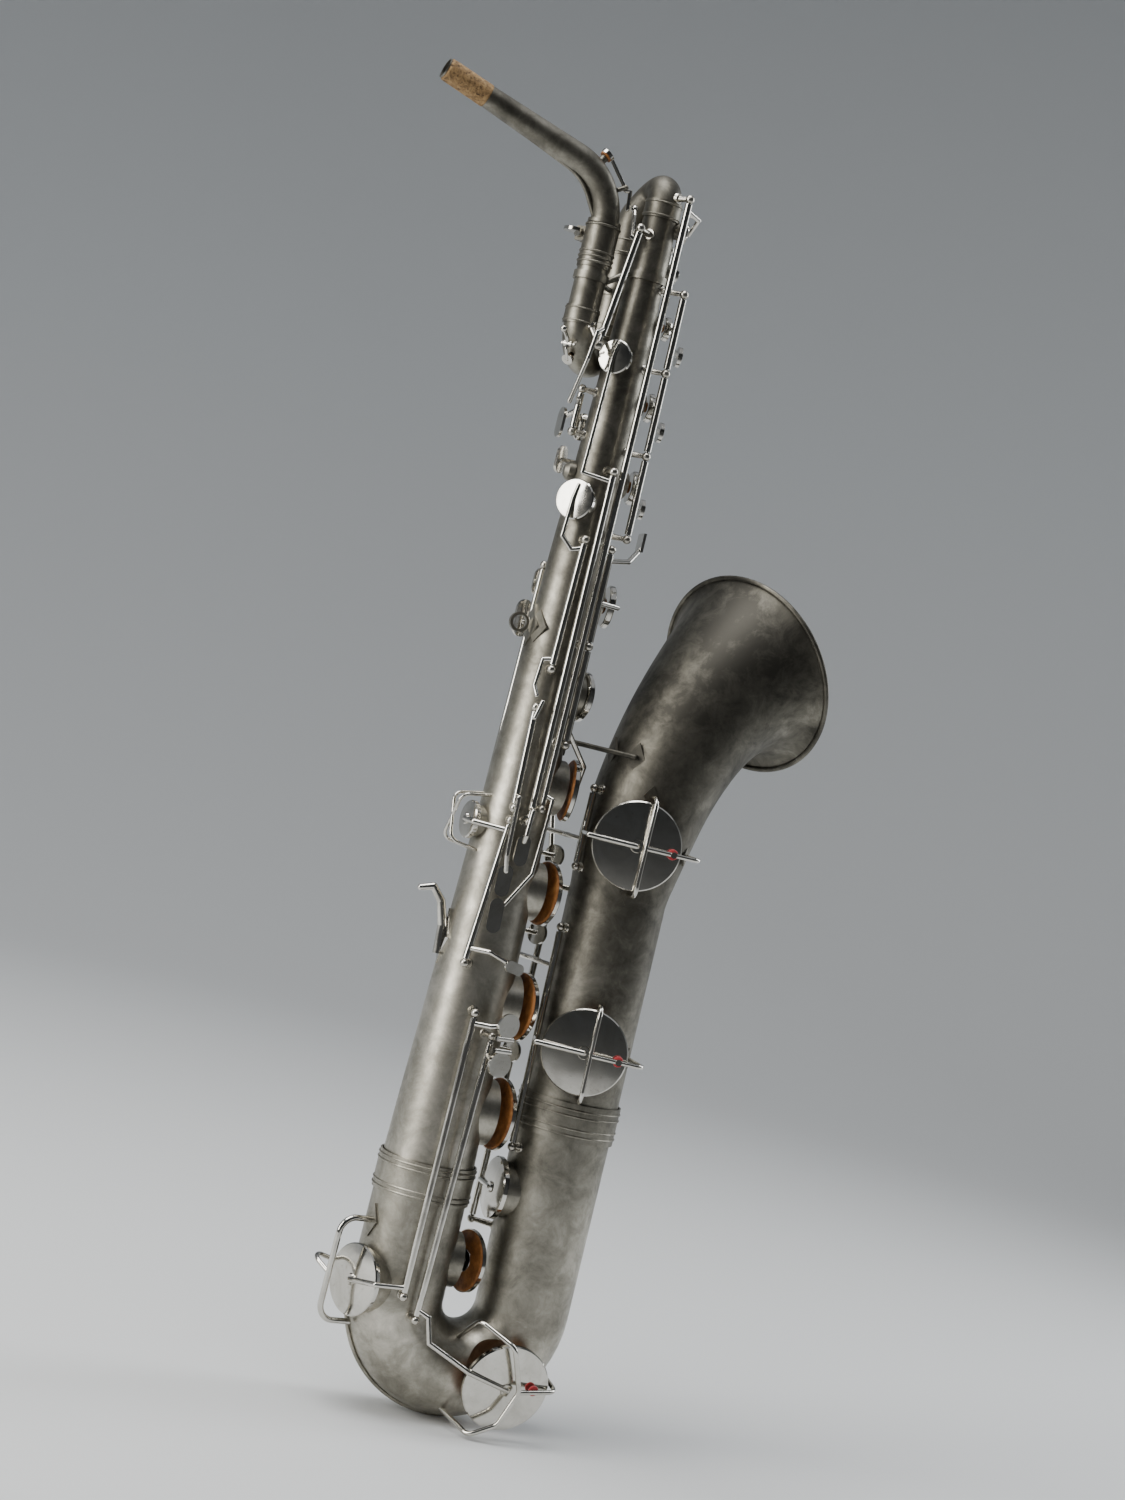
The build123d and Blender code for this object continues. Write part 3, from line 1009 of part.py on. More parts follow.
# ---- guards and bumpers ----------------------------------------------------------------------
def make_guards():
    wires = []
    felts = []
    # Low B and low B flat: an upright wire over the cup, and a leg to the front with the bumper.
    rise = 27.5
    up = Vector(0, 0, 1)
    for name, half in (("low_b", 38), ("low_b_flat", 39)):
        hole = HOLES[name]
        z = hole.seat.Z
        angle = degrees(atan2(hole.outward.Y, hole.outward.X)) - 1
        out = flat(angle)
        side = up.cross(out)
        high_foot = on_bell(angle, z + half, -0.6)
        low_foot = on_bell(angle, z - half, -0.6)
        middle = on_bell(angle, z, rise)
        high_out = middle + (high_foot - low_foot) * 0.5
        low_out = middle - (high_foot - low_foot) * 0.5
        side_angle = angle + 60
        side_foot = on_bell(side_angle, z, -0.6)
        spine = wire_loop([high_foot, high_out, low_out, low_foot], 1.8, 9.0)
        leg = wire_loop([middle, middle + side * (hole.cup / 2 + 9), side_foot], 1.8, 7.0)
        feet = [plate(high_foot, out, up, 6, 9, 1.9), plate(low_foot, out, up, 6, 9, 1.9),
                plate(side_foot, flat(side_angle), up, 5, 8, 1.9)]
        bumper = middle + side * 22
        holder = rod(bumper - out * 2.4, bumper + out * 2.6, 2.5)
        wires.append(cut(fused([spine, leg, holder] + feet), bell_outer()))
        felts.append(rod(bumper - out * 4.4, bumper - out * 2.4, 4.3))
    # Low E flat: a U wire standing well off the bow, and a leg across to the rear.
    spine_out = flat(-166)
    high = Vector(0, 0, 143) + spine_out * (body_radius(143) - 0.6)
    low = Vector(0, 0, 62) + spine_out * (BOW_R - 2.0)
    stand = 27.0
    spine = wire_loop([high, high + spine_out * stand, low + spine_out * (stand + 2), low], 2.4, 13.0)
    side_foot = on_body(154, 98, -0.6)
    leg_top = Vector(0, 0, 98) + spine_out * (BOW_R + stand - 1)
    leg = wire_loop([leg_top, on_body(-182, 110, stand + 12), side_foot],
                    1.9, 9.0)
    feet = [plate(high, spine_out, Vector(0, 0, 1), 8, 13, 1.9),
            plate(side_foot, flat(154), Vector(0, 0, 1), 6, 9, 1.9)]
    wires.append(cut(fused([spine, leg] + feet), bow_solid(0.0)))
    # Low C: a bent loop over the cup, and a leg to the front that carries the bumper.
    joint = Vector(94.9, -63.9, 41.9)
    loop = wire_loop([Vector(50, -21, 66), Vector(57, -46, 88), Vector(80.8, -69.7, 76.7), joint,
                      Vector(84.6, -61.0, 13.7), Vector(64.9, -56.0, 1.5), Vector(50, -24, 11)], 2.0, 8.0)
    leg = wire_loop([joint, Vector(129, -54, 44), Vector(124, -24, 52)], 1.9, 8.0)
    wires.append(cut(fused([loop, leg]), bow_solid(0.0)))
    felt_centre = joint + (Vector(129, -54, 44) - joint) * 0.42
    felts.append(rod(felt_centre - LOW_C_OUT * 4.0, felt_centre - LOW_C_OUT * 2.0, 4.3))
    # F sharp trill: two crossed loops over the small cup.
    hole = HOLES["f_sharp_trill"]
    angle = -174
    for spread in (-17, 17):
        hoop = [on_body(angle + spread, 483, -0.6), on_body(angle + spread * 0.5, 479, 23),
                on_body(angle - spread * 0.5, 443, 23), on_body(angle - spread, 439, -0.6)]
        wires.append(wire_loop(hoop, 1.3, 8.0))
    wires[-2:] = [fused(wires[-2:])]
    save("key_guards", *wires)
    save("felt_bumpers", *felts)


def main():
    make_body_tube()
    make_bow()
    make_bell()
    make_ferrules()
    make_bow_guard()
    make_loop()
    make_loop_bracket()
    saddle_pin, pip_top, pip_out = make_neck()
    make_receiver()
    make_strap_ring()
    make_thumb_hook()
    make_thumb_rest()
    make_brace()
    make_posts()
    make_side_keys()
    make_upper_stack()
    make_lower_stack()
    make_trill_key()
    make_little_finger_keys()
    make_bell_keys()
    make_palm_keys()
    make_octave_keys(saddle_pin, pip_top, pip_out)
    make_water_key()
    make_guards()
    print(len(saved), "nodes")


main()
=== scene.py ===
import json
import math
import random

import bmesh
import bpy
import numpy as np
from mathutils import Matrix, Vector
from mathutils.bvhtree import BVHTree


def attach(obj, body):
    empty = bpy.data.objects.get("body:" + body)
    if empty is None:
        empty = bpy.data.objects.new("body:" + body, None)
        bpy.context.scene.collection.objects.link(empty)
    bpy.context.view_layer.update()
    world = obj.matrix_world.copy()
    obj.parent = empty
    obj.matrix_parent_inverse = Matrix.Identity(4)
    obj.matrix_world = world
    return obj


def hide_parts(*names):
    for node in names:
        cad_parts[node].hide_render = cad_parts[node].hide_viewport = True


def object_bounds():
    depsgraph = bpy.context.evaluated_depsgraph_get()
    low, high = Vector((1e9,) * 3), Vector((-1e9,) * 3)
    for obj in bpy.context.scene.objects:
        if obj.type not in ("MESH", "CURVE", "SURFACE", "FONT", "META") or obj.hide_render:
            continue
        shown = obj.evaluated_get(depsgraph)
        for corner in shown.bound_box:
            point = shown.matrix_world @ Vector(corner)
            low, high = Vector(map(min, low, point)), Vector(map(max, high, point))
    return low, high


# Looks of the vintage baritone saxophone, in metres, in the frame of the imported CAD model.

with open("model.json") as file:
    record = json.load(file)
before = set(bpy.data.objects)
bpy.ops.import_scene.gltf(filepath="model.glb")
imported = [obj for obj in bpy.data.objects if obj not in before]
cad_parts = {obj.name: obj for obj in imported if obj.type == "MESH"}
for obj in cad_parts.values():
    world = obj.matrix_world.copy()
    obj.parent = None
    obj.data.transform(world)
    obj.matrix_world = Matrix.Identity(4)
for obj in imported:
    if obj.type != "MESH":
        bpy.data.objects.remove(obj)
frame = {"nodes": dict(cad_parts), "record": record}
cad_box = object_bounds()
nodes = frame["nodes"]
rng = random.Random(11)

PAD_NODES = {"f_sharp_pad": "f_sharp_key", "f_pad": "f_key", "e_pad": "e_key", "d_pad": "d_key",
             "fork_e_flat_pad": "fork_e_flat_key", "low_c_pad": "low_c_key", "low_b_pad": "low_b_key",
             "low_b_flat_pad": "low_b_flat_key"}

# ---- camera ---------------------------------------------------------------------------------
CAMERA_AT = Vector((-0.6626, -1.9863, -0.0885))
LOOK = Vector((0.342, 0.940, 0.0)).normalized()
ROLL = math.radians(13.87)              # the instrument leans on its stand
LENS = 64.8

level_right = Vector((0.940, -0.342, 0.0)).normalized()
up = Vector((0, 0, 1))
right = level_right * math.cos(ROLL) + up * math.sin(ROLL)
above = up * math.cos(ROLL) - level_right * math.sin(ROLL)

camera_data = bpy.data.cameras.new("camera")
camera_data.lens = LENS
camera_data.sensor_width = 36.0
camera = bpy.data.objects.new("camera", camera_data)
turn = Matrix((right, above, -LOOK)).transposed().to_4x4()
camera.matrix_world = Matrix.Translation(CAMERA_AT) @ turn
bpy.context.scene.collection.objects.link(camera)
bpy.context.scene.camera = camera


# ---- node helpers -----------------------------------------------------------------------------
class Shader:
    """A material and short ways to add nodes to it."""

    def __init__(self, name):
        self.material = bpy.data.materials.new(name)
        self.material.use_nodes = True
        self.tree = self.material.node_tree
        self.bsdf = self.tree.nodes["Principled BSDF"]
        self.coord = self.tree.nodes.new("ShaderNodeTexCoord").outputs["Object"]

    def add(self, kind, **values):
        node = self.tree.nodes.new(kind)
        for key, value in values.items():
            setattr(node, key, value)
        return node

    def link(self, out, socket):
        self.tree.links.new(out, socket)

    def noise(self, scale, detail=4.0, roughness=0.6, distortion=0.0, stretch=None):
        node = self.add("ShaderNodeTexNoise")
        node.inputs["Scale"].default_value = scale
        node.inputs["Detail"].default_value = detail
        node.inputs["Roughness"].default_value = roughness
        node.inputs["Distortion"].default_value = distortion
        source = self.coord
        if stretch:
            mapping = self.add("ShaderNodeMapping")
            mapping.inputs["Scale"].default_value = stretch
            self.link(self.coord, mapping.inputs["Vector"])
            source = mapping.outputs["Vector"]
        self.link(source, node.inputs["Vector"])
        return node.outputs["Fac"]

    def voronoi(self, scale, feature="F1"):
        node = self.add("ShaderNodeTexVoronoi", feature=feature)
        node.inputs["Scale"].default_value = scale
        self.link(self.coord, node.inputs["Vector"])
        return node.outputs["Distance"]

    def math(self, operation, a, b=0.0, clamp=False):
        node = self.add("ShaderNodeMath", operation=operation, use_clamp=clamp)
        for socket, value in zip(node.inputs, (a, b)):
            if isinstance(value, (int, float)):
                socket.default_value = value
            else:
                self.link(value, socket)
        return node.outputs[0]

    def spread(self, value, low, high, to_low=0.0, to_high=1.0):
        node = self.add("ShaderNodeMapRange")
        node.inputs["From Min"].default_value = low
        node.inputs["From Max"].default_value = high
        node.inputs["To Min"].default_value = to_low
        node.inputs["To Max"].default_value = to_high
        self.link(value, node.inputs["Value"])
        return node.outputs["Result"]

    def ramp(self, value, stops):
        node = self.add("ShaderNodeValToRGB")
        line = node.color_ramp.elements
        while len(line) < len(stops):
            line.new(0.5)
        for element, (place, colour) in zip(line, stops):
            element.position = place
            element.color = (*colour, 1.0)
        self.link(value, node.inputs["Fac"])
        return node.outputs["Color"]

    def height(self):
        node = self.add("ShaderNodeSeparateXYZ")
        self.link(self.coord, node.inputs["Vector"])
        return node.outputs["Z"]

    def bump(self, value, strength, distance):
        node = self.add("ShaderNodeBump")
        node.inputs["Strength"].default_value = strength
        node.inputs["Distance"].default_value = distance
        self.link(value, node.inputs["Height"])
        self.link(node.outputs["Normal"], self.bsdf.inputs["Normal"])

    def set(self, **values):
        for key, value in values.items():
            self.bsdf.inputs[key.replace("_", " ")].default_value = value


BRIGHT = (0.70, 0.66, 0.58)
MIDDLE = (0.37, 0.35, 0.295)
DARK = (0.165, 0.155, 0.128)
BLACKENED = (0.068, 0.064, 0.054)


def aged_silver(name, bright_z, dark_z, bias):
    """Sand-blasted silver plate, toned in patches, brighter towards one height than another."""
    s = Shader(name)
    patches = s.noise(9.0, 6.0, 0.62, 0.6)
    mottle = s.noise(52.0, 8.0, 0.72, 0.4)
    specks = s.noise(310.0, 3.0, 0.6)
    fade = s.spread(s.height(), bright_z, dark_z, 0.0, 0.34)
    tone = s.math("ADD", s.spread(patches, 0.30, 0.72, 0.0, 0.46),
                  s.spread(mottle, 0.36, 0.70, -0.05, 0.30))
    tone = s.math("ADD", tone, fade)
    tone = s.math("ADD", tone, bias, clamp=True)
    s.link(s.ramp(tone, ((0.0, BRIGHT), (0.38, MIDDLE), (0.72, DARK), (1.0, BLACKENED))),
           s.bsdf.inputs["Base Color"])
    s.link(s.spread(tone, 0.0, 1.0, 0.30, 0.52), s.bsdf.inputs["Roughness"])
    s.set(Metallic=1.0)
    grain = s.math("ADD", s.math("MULTIPLY", specks, 0.6), s.math("MULTIPLY", mottle, 0.8))
    s.bump(grain, 0.22, 0.0004)
    return s.material


def bright_metal(name, clean, toned, rough_low, rough_high):
    """Polished key metal with thin toning and handling marks."""
    s = Shader(name)
    smear = s.noise(38.0, 5.0, 0.6, 0.8)
    spots = s.noise(230.0, 4.0, 0.65)
    tone = s.math("ADD", s.spread(smear, 0.42, 0.78, 0.0, 0.65),
                  s.spread(spots, 0.60, 0.76, 0.0, 0.55), clamp=True)
    between = tuple(0.5 * (a + b) for a, b in zip(clean, toned))
    s.link(s.ramp(tone, ((0.0, clean), (0.5, between), (1.0, toned))), s.bsdf.inputs["Base Color"])
    s.link(s.spread(tone, 0.0, 1.0, rough_low, rough_high), s.bsdf.inputs["Roughness"])
    s.set(Metallic=1.0)
    waves = s.noise(24.0, 2.0, 0.4)
    s.bump(s.math("ADD", waves, s.math("MULTIPLY", spots, 0.02)), 0.5, 0.0016)
    return s.material


def leather(name):
    """Orange-brown kid leather of the pads, darker in random blotches."""
    s = Shader(name)
    grain = s.voronoi(1500.0)
    blotch = s.noise(120.0, 5.0, 0.6)
    colour = s.ramp(blotch, ((0.30, (0.22, 0.075, 0.018)), (0.55, (0.47, 0.18, 0.045)),
                             (0.75, (0.62, 0.29, 0.09))))
    s.link(colour, s.bsdf.inputs["Base Color"])
    s.link(s.spread(grain, 0.0, 0.6, 0.42, 0.62), s.bsdf.inputs["Roughness"])
    s.bump(s.math("ADD", grain, blotch), 0.30, 0.0003)
    return s.material


def cork_material(name):
    """Pressed natural cork: warm grain with dark pits."""
    s = Shader(name)
    grain = s.noise(260.0, 7.0, 0.7, 0.5)
    pits = s.noise(520.0, 3.0, 0.5, 1.2)
    colour = s.ramp(grain, ((0.32, (0.10, 0.055, 0.020)), (0.50, (0.28, 0.170, 0.070)),
                            (0.68, (0.42, 0.28, 0.13))))
    dark = s.ramp(pits, ((0.30, (0.10, 0.05, 0.03)), (0.42, (1.0, 1.0, 1.0))))
    mix = s.add("ShaderNodeMix", data_type="RGBA", blend_type="MULTIPLY")
    mix.inputs["Factor"].default_value = 1.0
    s.link(colour, mix.inputs["A"])
    s.link(dark, mix.inputs["B"])
    s.link(mix.outputs["Result"], s.bsdf.inputs["Base Color"])
    s.link(s.spread(grain, 0.3, 0.7, 0.72, 0.92), s.bsdf.inputs["Roughness"])
    s.bump(s.math("ADD", grain, pits), 0.5, 0.0006)
    return s.material


def felt_material(name):
    """Dense red felt with short fibres."""
    s = Shader(name)
    fibres = s.noise(1600.0, 6.0, 0.75, 1.5)
    colour = s.ramp(fibres, ((0.30, (0.22, 0.008, 0.012)), (0.65, (0.62, 0.030, 0.038))))
    s.link(colour, s.bsdf.inputs["Base Color"])
    s.link(s.spread(fibres, 0.3, 0.7, 0.85, 0.98), s.bsdf.inputs["Roughness"])
    s.set(Sheen_Weight=0.6)
    s.bump(fibres, 0.6, 0.0006)
    return s.material


def pearl_material(name):
    """Mother of pearl: cloudy, with a faint shift of colour in its layers."""
    s = Shader(name)
    cloud = s.noise(190.0, 4.0, 0.55, 2.4)
    colour = s.ramp(cloud, ((0.28, (0.60, 0.66, 0.62)), (0.46, (0.84, 0.82, 0.76)),
                            (0.60, (0.88, 0.80, 0.79)), (0.76, (0.93, 0.92, 0.88))))
    s.link(colour, s.bsdf.inputs["Base Color"])
    s.link(s.spread(cloud, 0.3, 0.7, 0.14, 0.28), s.bsdf.inputs["Roughness"])
    s.set(Coat_Weight=0.5)
    s.bump(cloud, 0.05, 0.0002)
    return s.material


BODY_SILVER = aged_silver("body_silver", -0.30, 0.22, 0.04)
BOW_SILVER = aged_silver("bow_silver", -0.62, -0.36, -0.02)
BELL_SILVER = aged_silver("bell_silver", -0.42, -0.12, 0.20)
LOOP_SILVER = aged_silver("loop_silver", 0.20, 0.40, 0.18)
NECK_SILVER = aged_silver("neck_silver", 0.42, 0.32, 0.10)
KEY_SILVER = bright_metal("key_silver_polished", (0.66, 0.64, 0.59), (0.33, 0.31, 0.26), 0.08, 0.28)
FITTING_SILVER = bright_metal("fitting_silver", (0.56, 0.535, 0.475), (0.28, 0.25, 0.20), 0.24, 0.42)
STEEL = bright_metal("hinge_steel", (0.60, 0.60, 0.59), (0.34, 0.32, 0.29), 0.16, 0.34)
LEATHER = leather("pad_leather_kid")
CORK = cork_material("cork_grain")
FELT = felt_material("red_felt")
PEARL = pearl_material("pearl_inlay")


# ---- CAD nodes: materials, solid by solid where a node holds several ------------------------
def islands(mesh):
    """Faces of each separate solid, biggest box first. The mesh's vertices are split at CAD edges."""
    count = len(mesh.vertices)
    points = np.empty(count * 3)
    mesh.vertices.foreach_get("co", points)
    points = points.reshape(-1, 3)
    _, same = np.unique(np.round(points, 7), axis=0, return_inverse=True)
    same = same.ravel()
    faces = [list(face.vertices) for face in mesh.polygons]
    parent = list(range(same.max() + 1))

    def root(i):
        while parent[i] != i:
            parent[i] = parent[parent[i]]
            i = parent[i]
        return i

    for face in faces:
        first = root(same[face[0]])
        for vertex in face[1:]:
            parent[root(same[vertex])] = first
            first = root(first)
    groups = {}
    for index, face in enumerate(faces):
        groups.setdefault(root(same[face[0]]), []).append(index)

    def size(group):
        used = np.unique([vertex for index in group for vertex in faces[index]])
        return float(np.linalg.norm(points[used].max(0) - points[used].min(0)))

    return sorted(groups.values(), key=size, reverse=True)


def paint(name, *materials):
    """Give a CAD node one material, or one for each of its solids from the biggest down."""
    mesh = nodes[name].data
    mesh.materials.clear()
    for material in materials:
        mesh.materials.append(material)
    if len(materials) == 1:
        return
    for rank, group in enumerate(islands(mesh)):
        for index in group:
            mesh.polygons[index].material_index = min(rank, len(materials) - 1)


for name in nodes:
    paint(name, KEY_SILVER)
for name in ("body_tube", "thumb_rest", "strap_ring"):
    paint(name, BODY_SILVER)
for name in ("bow", "bow_guard"):
    paint(name, BOW_SILVER)
for name in ("bell", "bell_brace"):
    paint(name, BELL_SILVER)
for name in ("top_bow", "loop_low_bend", "loop_fall_tube", "loop_rise_tube", "loop_bracket"):
    paint(name, LOOP_SILVER)
for name in ("neck_tube", "neck_receiver"):
    paint(name, NECK_SILVER)
paint("posts", FITTING_SILVER)
paint("ferrules", BOW_SILVER)
paint("hinge_steels", STEEL)
for name in ("a_key", "b_key", "c_key"):
    paint(name, KEY_SILVER, LEATHER, PEARL, STEEL)
for name in ("f_key", "e_key", "d_key"):
    paint(name, KEY_SILVER, PEARL)
for name in ("g_key", "g_sharp_key", "f_sharp_trill_key", "high_e_key", "side_c_key", "side_b_flat_key",
             "low_e_flat_key", "low_c_sharp_key", "palm_f_key", "palm_e_flat_key", "palm_d_key"):
    paint(name, KEY_SILVER, LEATHER, STEEL)
paint("neck_octave_key", KEY_SILVER, LEATHER)
paint("water_key", KEY_SILVER, CORK)


def tone_feet(name, reach):
    """The guards' foot plates share the dull finish of the tube that they are soldered to."""
    mesh = nodes[name].data
    grounds = []
    for tube, material in (("bell", BELL_SILVER), ("bow", BOW_SILVER), ("body_tube", BODY_SILVER)):
        source = nodes[tube].data
        tree = BVHTree.FromPolygons([v.co for v in source.vertices], [p.vertices for p in source.polygons])
        grounds.append((tree, len(mesh.materials)))
        mesh.materials.append(material)
    for polygon in mesh.polygons:
        for tree, index in grounds:
            if tree.find_nearest(polygon.center, reach)[0] is not None:
                polygon.material_index = index


tone_feet("key_guards", 0.0021)


# ---- pieces built here ----------------------------------------------------------------------
def lathe(name, profile, base, axis, material, body, segments=72, ripple=None):
    """Surface of revolution from a profile of (radius, height) pairs.

    ripple(angle, radius, height), where given, moves each point.
    """
    frame_turn = axis.to_track_quat("Z", "Y").to_matrix().to_4x4()
    place = Matrix.Translation(base) @ frame_turn
    built = bmesh.new()
    rows = []
    for radius, height in profile:
        if radius < 1e-7:
            rows.append([built.verts.new(place @ Vector((0, 0, height)))])
            continue
        row = []
        for step in range(segments):
            angle = 2 * math.pi * step / segments
            r, h = ripple(angle, radius, height) if ripple else (radius, height)
            row.append(built.verts.new(place @ Vector((r * math.cos(angle), r * math.sin(angle), h))))
        rows.append(row)
    for low, high in zip(rows, rows[1:]):
        for step in range(segments):
            after = (step + 1) % segments
            if len(low) == 1 and len(high) > 1:
                built.faces.new((low[0], high[after], high[step]))
            elif len(high) == 1 and len(low) > 1:
                built.faces.new((low[step], low[after], high[0]))
            elif len(low) > 1:
                built.faces.new((low[step], low[after], high[after], high[step]))
    bmesh.ops.recalc_face_normals(built, faces=built.faces)
    mesh = bpy.data.meshes.new(name)
    built.to_mesh(mesh)
    built.free()
    mesh.polygons.foreach_set("use_smooth", [True] * len(mesh.polygons))
    mesh.materials.append(material)
    piece = bpy.data.objects.new(name, mesh)
    bpy.context.scene.collection.objects.link(piece)
    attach(piece, body)
    return piece


def node_points(name):
    mesh = nodes[name].data
    points = np.empty(len(mesh.vertices) * 3)
    mesh.vertices.foreach_get("co", points)
    return points.reshape(-1, 3)


def disc_frame(points):
    """Face centre, facing direction, radius and depth of a flat round solid.

    A smaller disc stands out of the solid's face, and shows which way it faces.
    """
    middle = (points.max(0) + points.min(0)) / 2
    _, _, ways = np.linalg.svd(points - points.mean(0), full_matrices=False)
    axis = ways[2]
    for _ in range(2):
        along = (points - middle) @ axis
        radial = np.linalg.norm(points - middle - np.outer(along, axis), axis=1)
        wide = radial > 0.9 * radial.max()
        middle = (points[wide].max(0) + points[wide].min(0)) / 2
    along = (points - middle) @ axis
    radial = np.linalg.norm(points - middle - np.outer(along, axis), axis=1)
    wide = radial > 0.6 * radial.max()
    if along.max() - along[wide].max() < along[wide].min() - along.min():
        axis = -axis
        along = -along
    face = along[wide].max()
    return Vector(middle + axis * face), Vector(axis), float(radial.max()), float(face - along.min())


def make_pad(name, body):
    """Crowned leather pad, gathered at its edge, with a domed metal resonator."""
    face, way, radius, depth = disc_frame(node_points(name))
    sink = 0.0002
    soft = 0.0011
    profile = [(0.0, -depth + sink), (radius * 0.6, -depth + sink), (radius - sink, -depth + sink),
               (radius - sink * 0.5, -depth * 0.6), (radius - sink * 0.5, -soft - sink),
               (radius - 0.0004, -0.0006 - sink), (radius - soft, -sink), (radius - 0.0022, 0.0001 - sink),
               (radius - 0.0034, -0.0003), (radius * 0.72, -0.0001), (radius * 0.5, 0.0),
               (radius * 0.38, 0.0), (0.0, 0.0)]

    def gathers(angle, r, h):
        fold = 0.00007 * math.sin(angle * 34) * max(0.0, (r / radius - 0.8) * 5)
        return r + min(fold, 0.0), h + fold

    pad = lathe(name.replace("pad", "leather_pad"), profile, face, way, LEATHER, body, 144, gathers)
    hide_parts(name)
    dome_r = radius * 0.36
    dome = [(dome_r, 0.0), (dome_r, 0.00035), (dome_r * 0.96, 0.00055), (dome_r * 0.6, 0.00070),
            (dome_r * 0.22, 0.00074), (dome_r * 0.18, 0.00045), (dome_r * 0.10, 0.00040), (0.0, 0.00040)]
    button = lathe(name.replace("pad", "resonator"), dome, face, way, STEEL, body, 48)


for name, body in PAD_NODES.items():
    make_pad(name, body)


def make_cork():
    """Neck cork with chips and a worn front edge."""
    mount = next(m for m in frame["record"]["mounts"] if m["name"] == "mouthpiece_cork")
    axis = Vector(mount["axis"]).normalized()
    radius = mount["dims"]["r_mm"] / 1000
    half = mount["dims"]["length_mm"] / 2000
    centre = Vector(mount["pos_m"])
    inside = 0.0083
    chips = [(rng.uniform(0, 2 * math.pi), rng.uniform(-half, half), rng.uniform(0.0008, 0.0022))
             for _ in range(46)]
    rings = 56
    profile = [(inside, -half), (radius - 0.0009, -half), (radius - 0.0002, -half + 0.0008)]
    for step in range(rings + 1):
        profile.append((radius, -half + 0.0012 + (2 * half - 0.0028) * step / rings))
    profile += [(radius - 0.0004, half - 0.0009), (radius - 0.0014, half), (inside - 0.0002, half)]

    def worn(angle, r, h):
        if r < radius - 0.0001:
            return r, h
        dip = 0.0
        for at, along, width in chips:
            gap = (angle - at + math.pi) % (2 * math.pi) - math.pi
            away = math.hypot(gap * radius, h - along)
            dip = max(dip, 0.00035 * max(0.0, 1 - away / width))
        return r - dip - 0.0001 * (h + half) / half, h

    cork = lathe("cork_sleeve", profile, centre, axis, CORK, "neck", 120, worn)
    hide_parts("neck_cork")


make_cork()


FELT_SEGMENTS = 60


def make_felts():
    """Red felt discs of the guard bumpers, slightly swollen between their faces."""
    mesh = nodes["felt_bumpers"].data
    points = node_points("felt_bumpers")
    for number, group in enumerate(islands(mesh)):
        used = np.unique([vertex for index in group for vertex in mesh.polygons[index].vertices])
        solid = points[used]
        middle = (solid.max(0) + solid.min(0)) / 2
        _, _, ways = np.linalg.svd(solid - solid.mean(0), full_matrices=False)
        axis = Vector(ways[2])
        along = (solid - middle) @ ways[2]
        half = float(along.max() - along.min()) / 2
        radius = float(np.linalg.norm(solid - middle - np.outer(along, ways[2]), axis=1).max())
        profile = [(0.0, -half), (radius * 0.5, -half), (radius - 0.0005, -half),
                   (radius - 0.0001, -half * 0.6), (radius, 0.0), (radius - 0.0001, half * 0.6),
                   (radius - 0.0005, half), (radius * 0.5, half), (0.0, half)]
        fuzz = random.Random(number)
        wobble = [fuzz.uniform(-0.00012, 0.0) for _ in range(FELT_SEGMENTS)]

        def shaggy(angle, r, h, wobble=wobble):
            return r + wobble[int(angle / (2 * math.pi) * FELT_SEGMENTS) % FELT_SEGMENTS], h

        lathe(f"red_felt_{number}", profile, Vector(middle), axis, FELT, "horn_body",
                          FELT_SEGMENTS, shaggy)
    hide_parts("felt_bumpers")


make_felts()


# ---- stage and light ------------------------------------------------------------------------
FRONT_SHADE = 0.17                      # the cove is darker towards the camera, as an unlit room is
FRONT_SHADE_DEPTHS = (-1.4, -0.40)


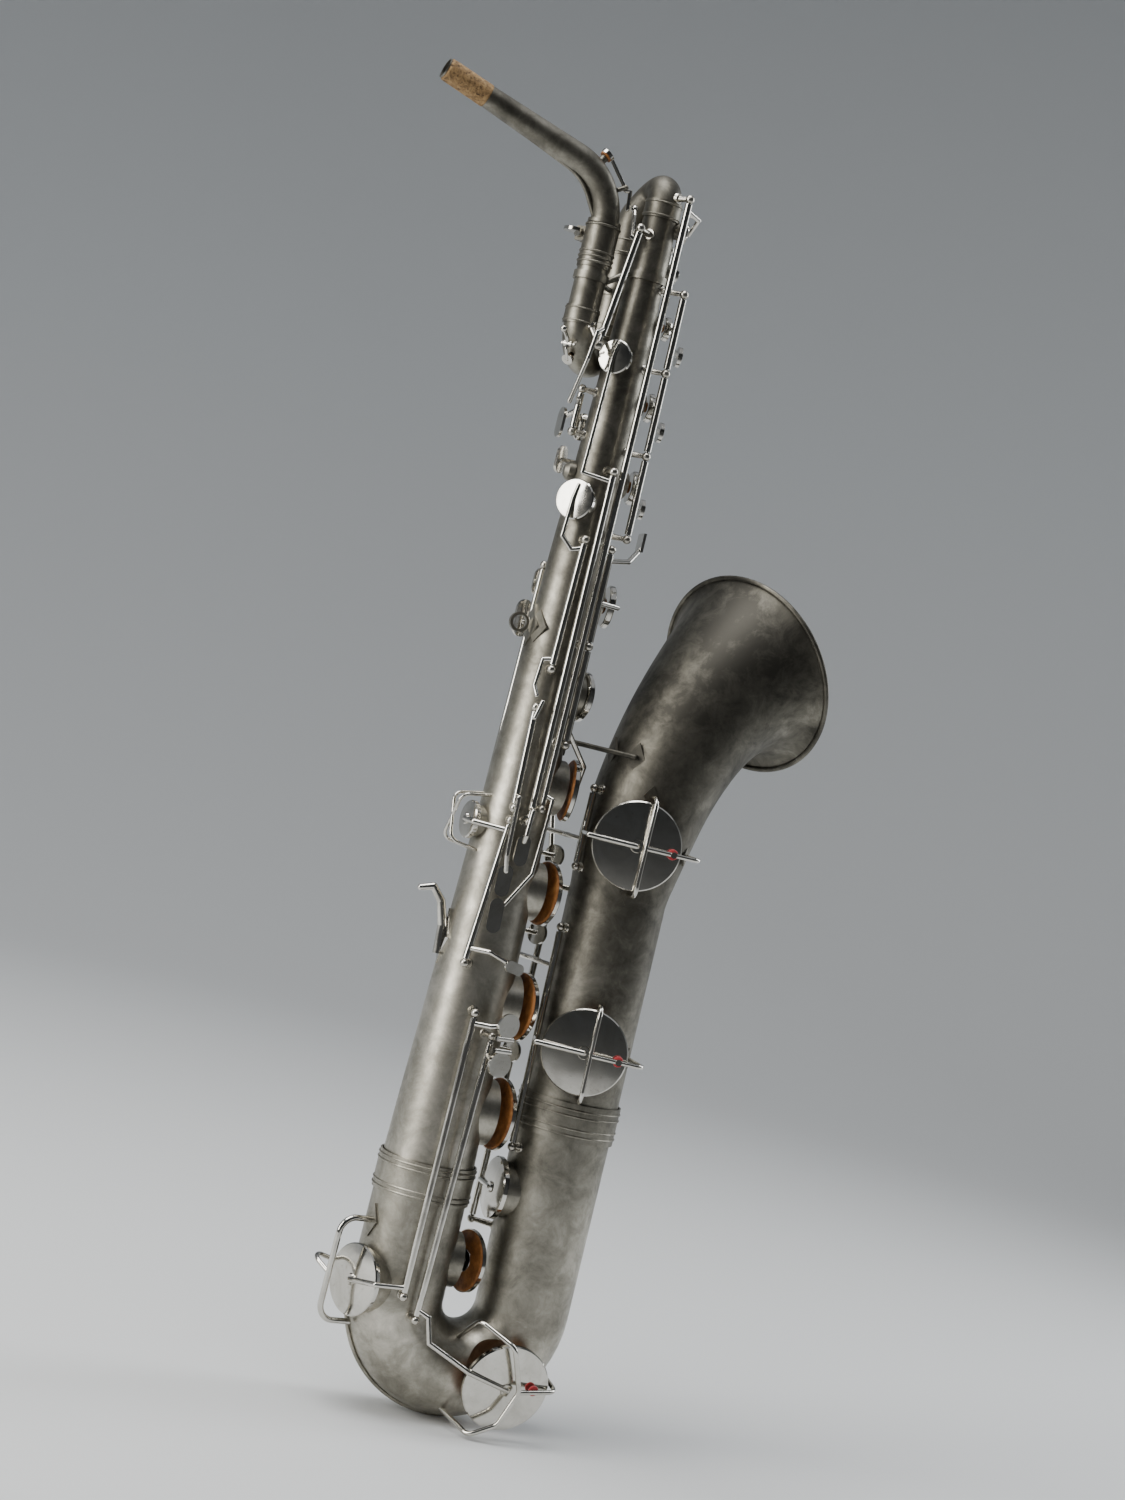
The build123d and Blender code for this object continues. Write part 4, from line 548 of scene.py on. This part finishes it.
def make_stage():
    """Pale round cove: a flat floor that turns up into a wall on every side, its paper with painted shade
    that darkens up the wall and towards the camera.
    """
    floor_z = cad_box[0].z
    flat_r = 2.6
    curve = 2.2
    wall = 3.2
    profile = [(0.0, 0.0), (flat_r * 0.3, 0.0), (flat_r * 0.7, 0.0), (flat_r, 0.0)]
    steps = 16
    for step in range(1, steps + 1):
        angle = math.pi / 2 * step / steps
        profile.append((flat_r + curve * math.sin(angle), curve * (1 - math.cos(angle))))
    profile.append((flat_r + curve, curve + wall))
    built = bmesh.new()
    segments = 96
    rows = []
    for radius, height in profile:
        count = segments if radius > 0 else 1
        rows.append([built.verts.new((radius * math.cos(2 * math.pi * i / segments),
                                      radius * math.sin(2 * math.pi * i / segments), floor_z + height))
                     for i in range(count)])
    for low, high in zip(rows, rows[1:]):
        for i in range(segments):
            after = (i + 1) % segments
            if len(low) == 1:
                built.faces.new((low[0], high[i], high[after]))
            else:
                built.faces.new((low[i], high[i], high[after], low[after]))
    bmesh.ops.recalc_face_normals(built, faces=built.faces)
    mesh = bpy.data.meshes.new("cove")
    built.to_mesh(mesh)
    built.free()
    mesh.polygons.foreach_set("use_smooth", [True] * len(mesh.polygons))
    s = Shader("cove_paper_painted_shade")
    tone = s.spread(s.height(), floor_z, floor_z + curve + wall)
    # painted shade: the paper darkens from the pale floor to dark grey at the top of the wall, where the
    # light falls off
    paper_with_painted_shade = s.ramp(tone, ((0.0, (0.70, 0.71, 0.71)), (0.25, (0.60, 0.62, 0.63)), (1.0, (0.26, 0.27, 0.28))))
    depth = s.add("ShaderNodeVectorMath", operation="DOT_PRODUCT")
    depth.inputs[1].default_value = LOOK
    s.link(s.coord, depth.inputs[0])
    shade = s.spread(depth.outputs["Value"], *FRONT_SHADE_DEPTHS, FRONT_SHADE, 1.0)
    mix = s.add("ShaderNodeMix", data_type="RGBA", blend_type="MULTIPLY")
    mix.inputs["Factor"].default_value = 1.0
    s.link(paper_with_painted_shade, mix.inputs["A"])
    s.link(shade, mix.inputs["B"])
    s.link(mix.outputs["Result"], s.bsdf.inputs["Base Color"])
    s.set(Roughness=0.9)
    mesh.materials.append(s.material)
    cove = bpy.data.objects.new("cove", mesh)
    bpy.context.scene.collection.objects.link(cove)


def soft_box(name, place, target, width, height, power, colour=(1.0, 1.0, 1.0)):
    data = bpy.data.lights.new(name, "AREA")
    data.shape = "RECTANGLE"
    data.size = width
    data.size_y = height
    data.energy = power
    data.color = colour
    lamp = bpy.data.objects.new(name, data)
    lamp.location = place
    lamp.rotation_mode = "QUATERNION"
    lamp.rotation_quaternion = (target - place).to_track_quat("-Z", "Y")
    bpy.context.scene.collection.objects.link(lamp)


make_stage()
middle = (cad_box[0] + cad_box[1]) / 2
soft_box("key", middle - right * 1.5 - LOOK * 1.1 + above * 1.0, middle, 0.9, 1.8, 46, (1.0, 0.985, 0.95))
soft_box("top", middle + above * 2.4 - LOOK * 0.3, middle, 1.6, 1.6, 60)
soft_box("rim", middle + right * 1.7 + LOOK * 0.9 + above * 0.4, middle, 0.6, 1.8, 22, (0.94, 0.97, 1.0))

world = bpy.data.worlds.new("studio")
world.use_nodes = True
world.node_tree.nodes["Background"].inputs["Color"].default_value = (0.72, 0.75, 0.80, 1.0)
world.node_tree.nodes["Background"].inputs["Strength"].default_value = 0.55
bpy.context.scene.world = world
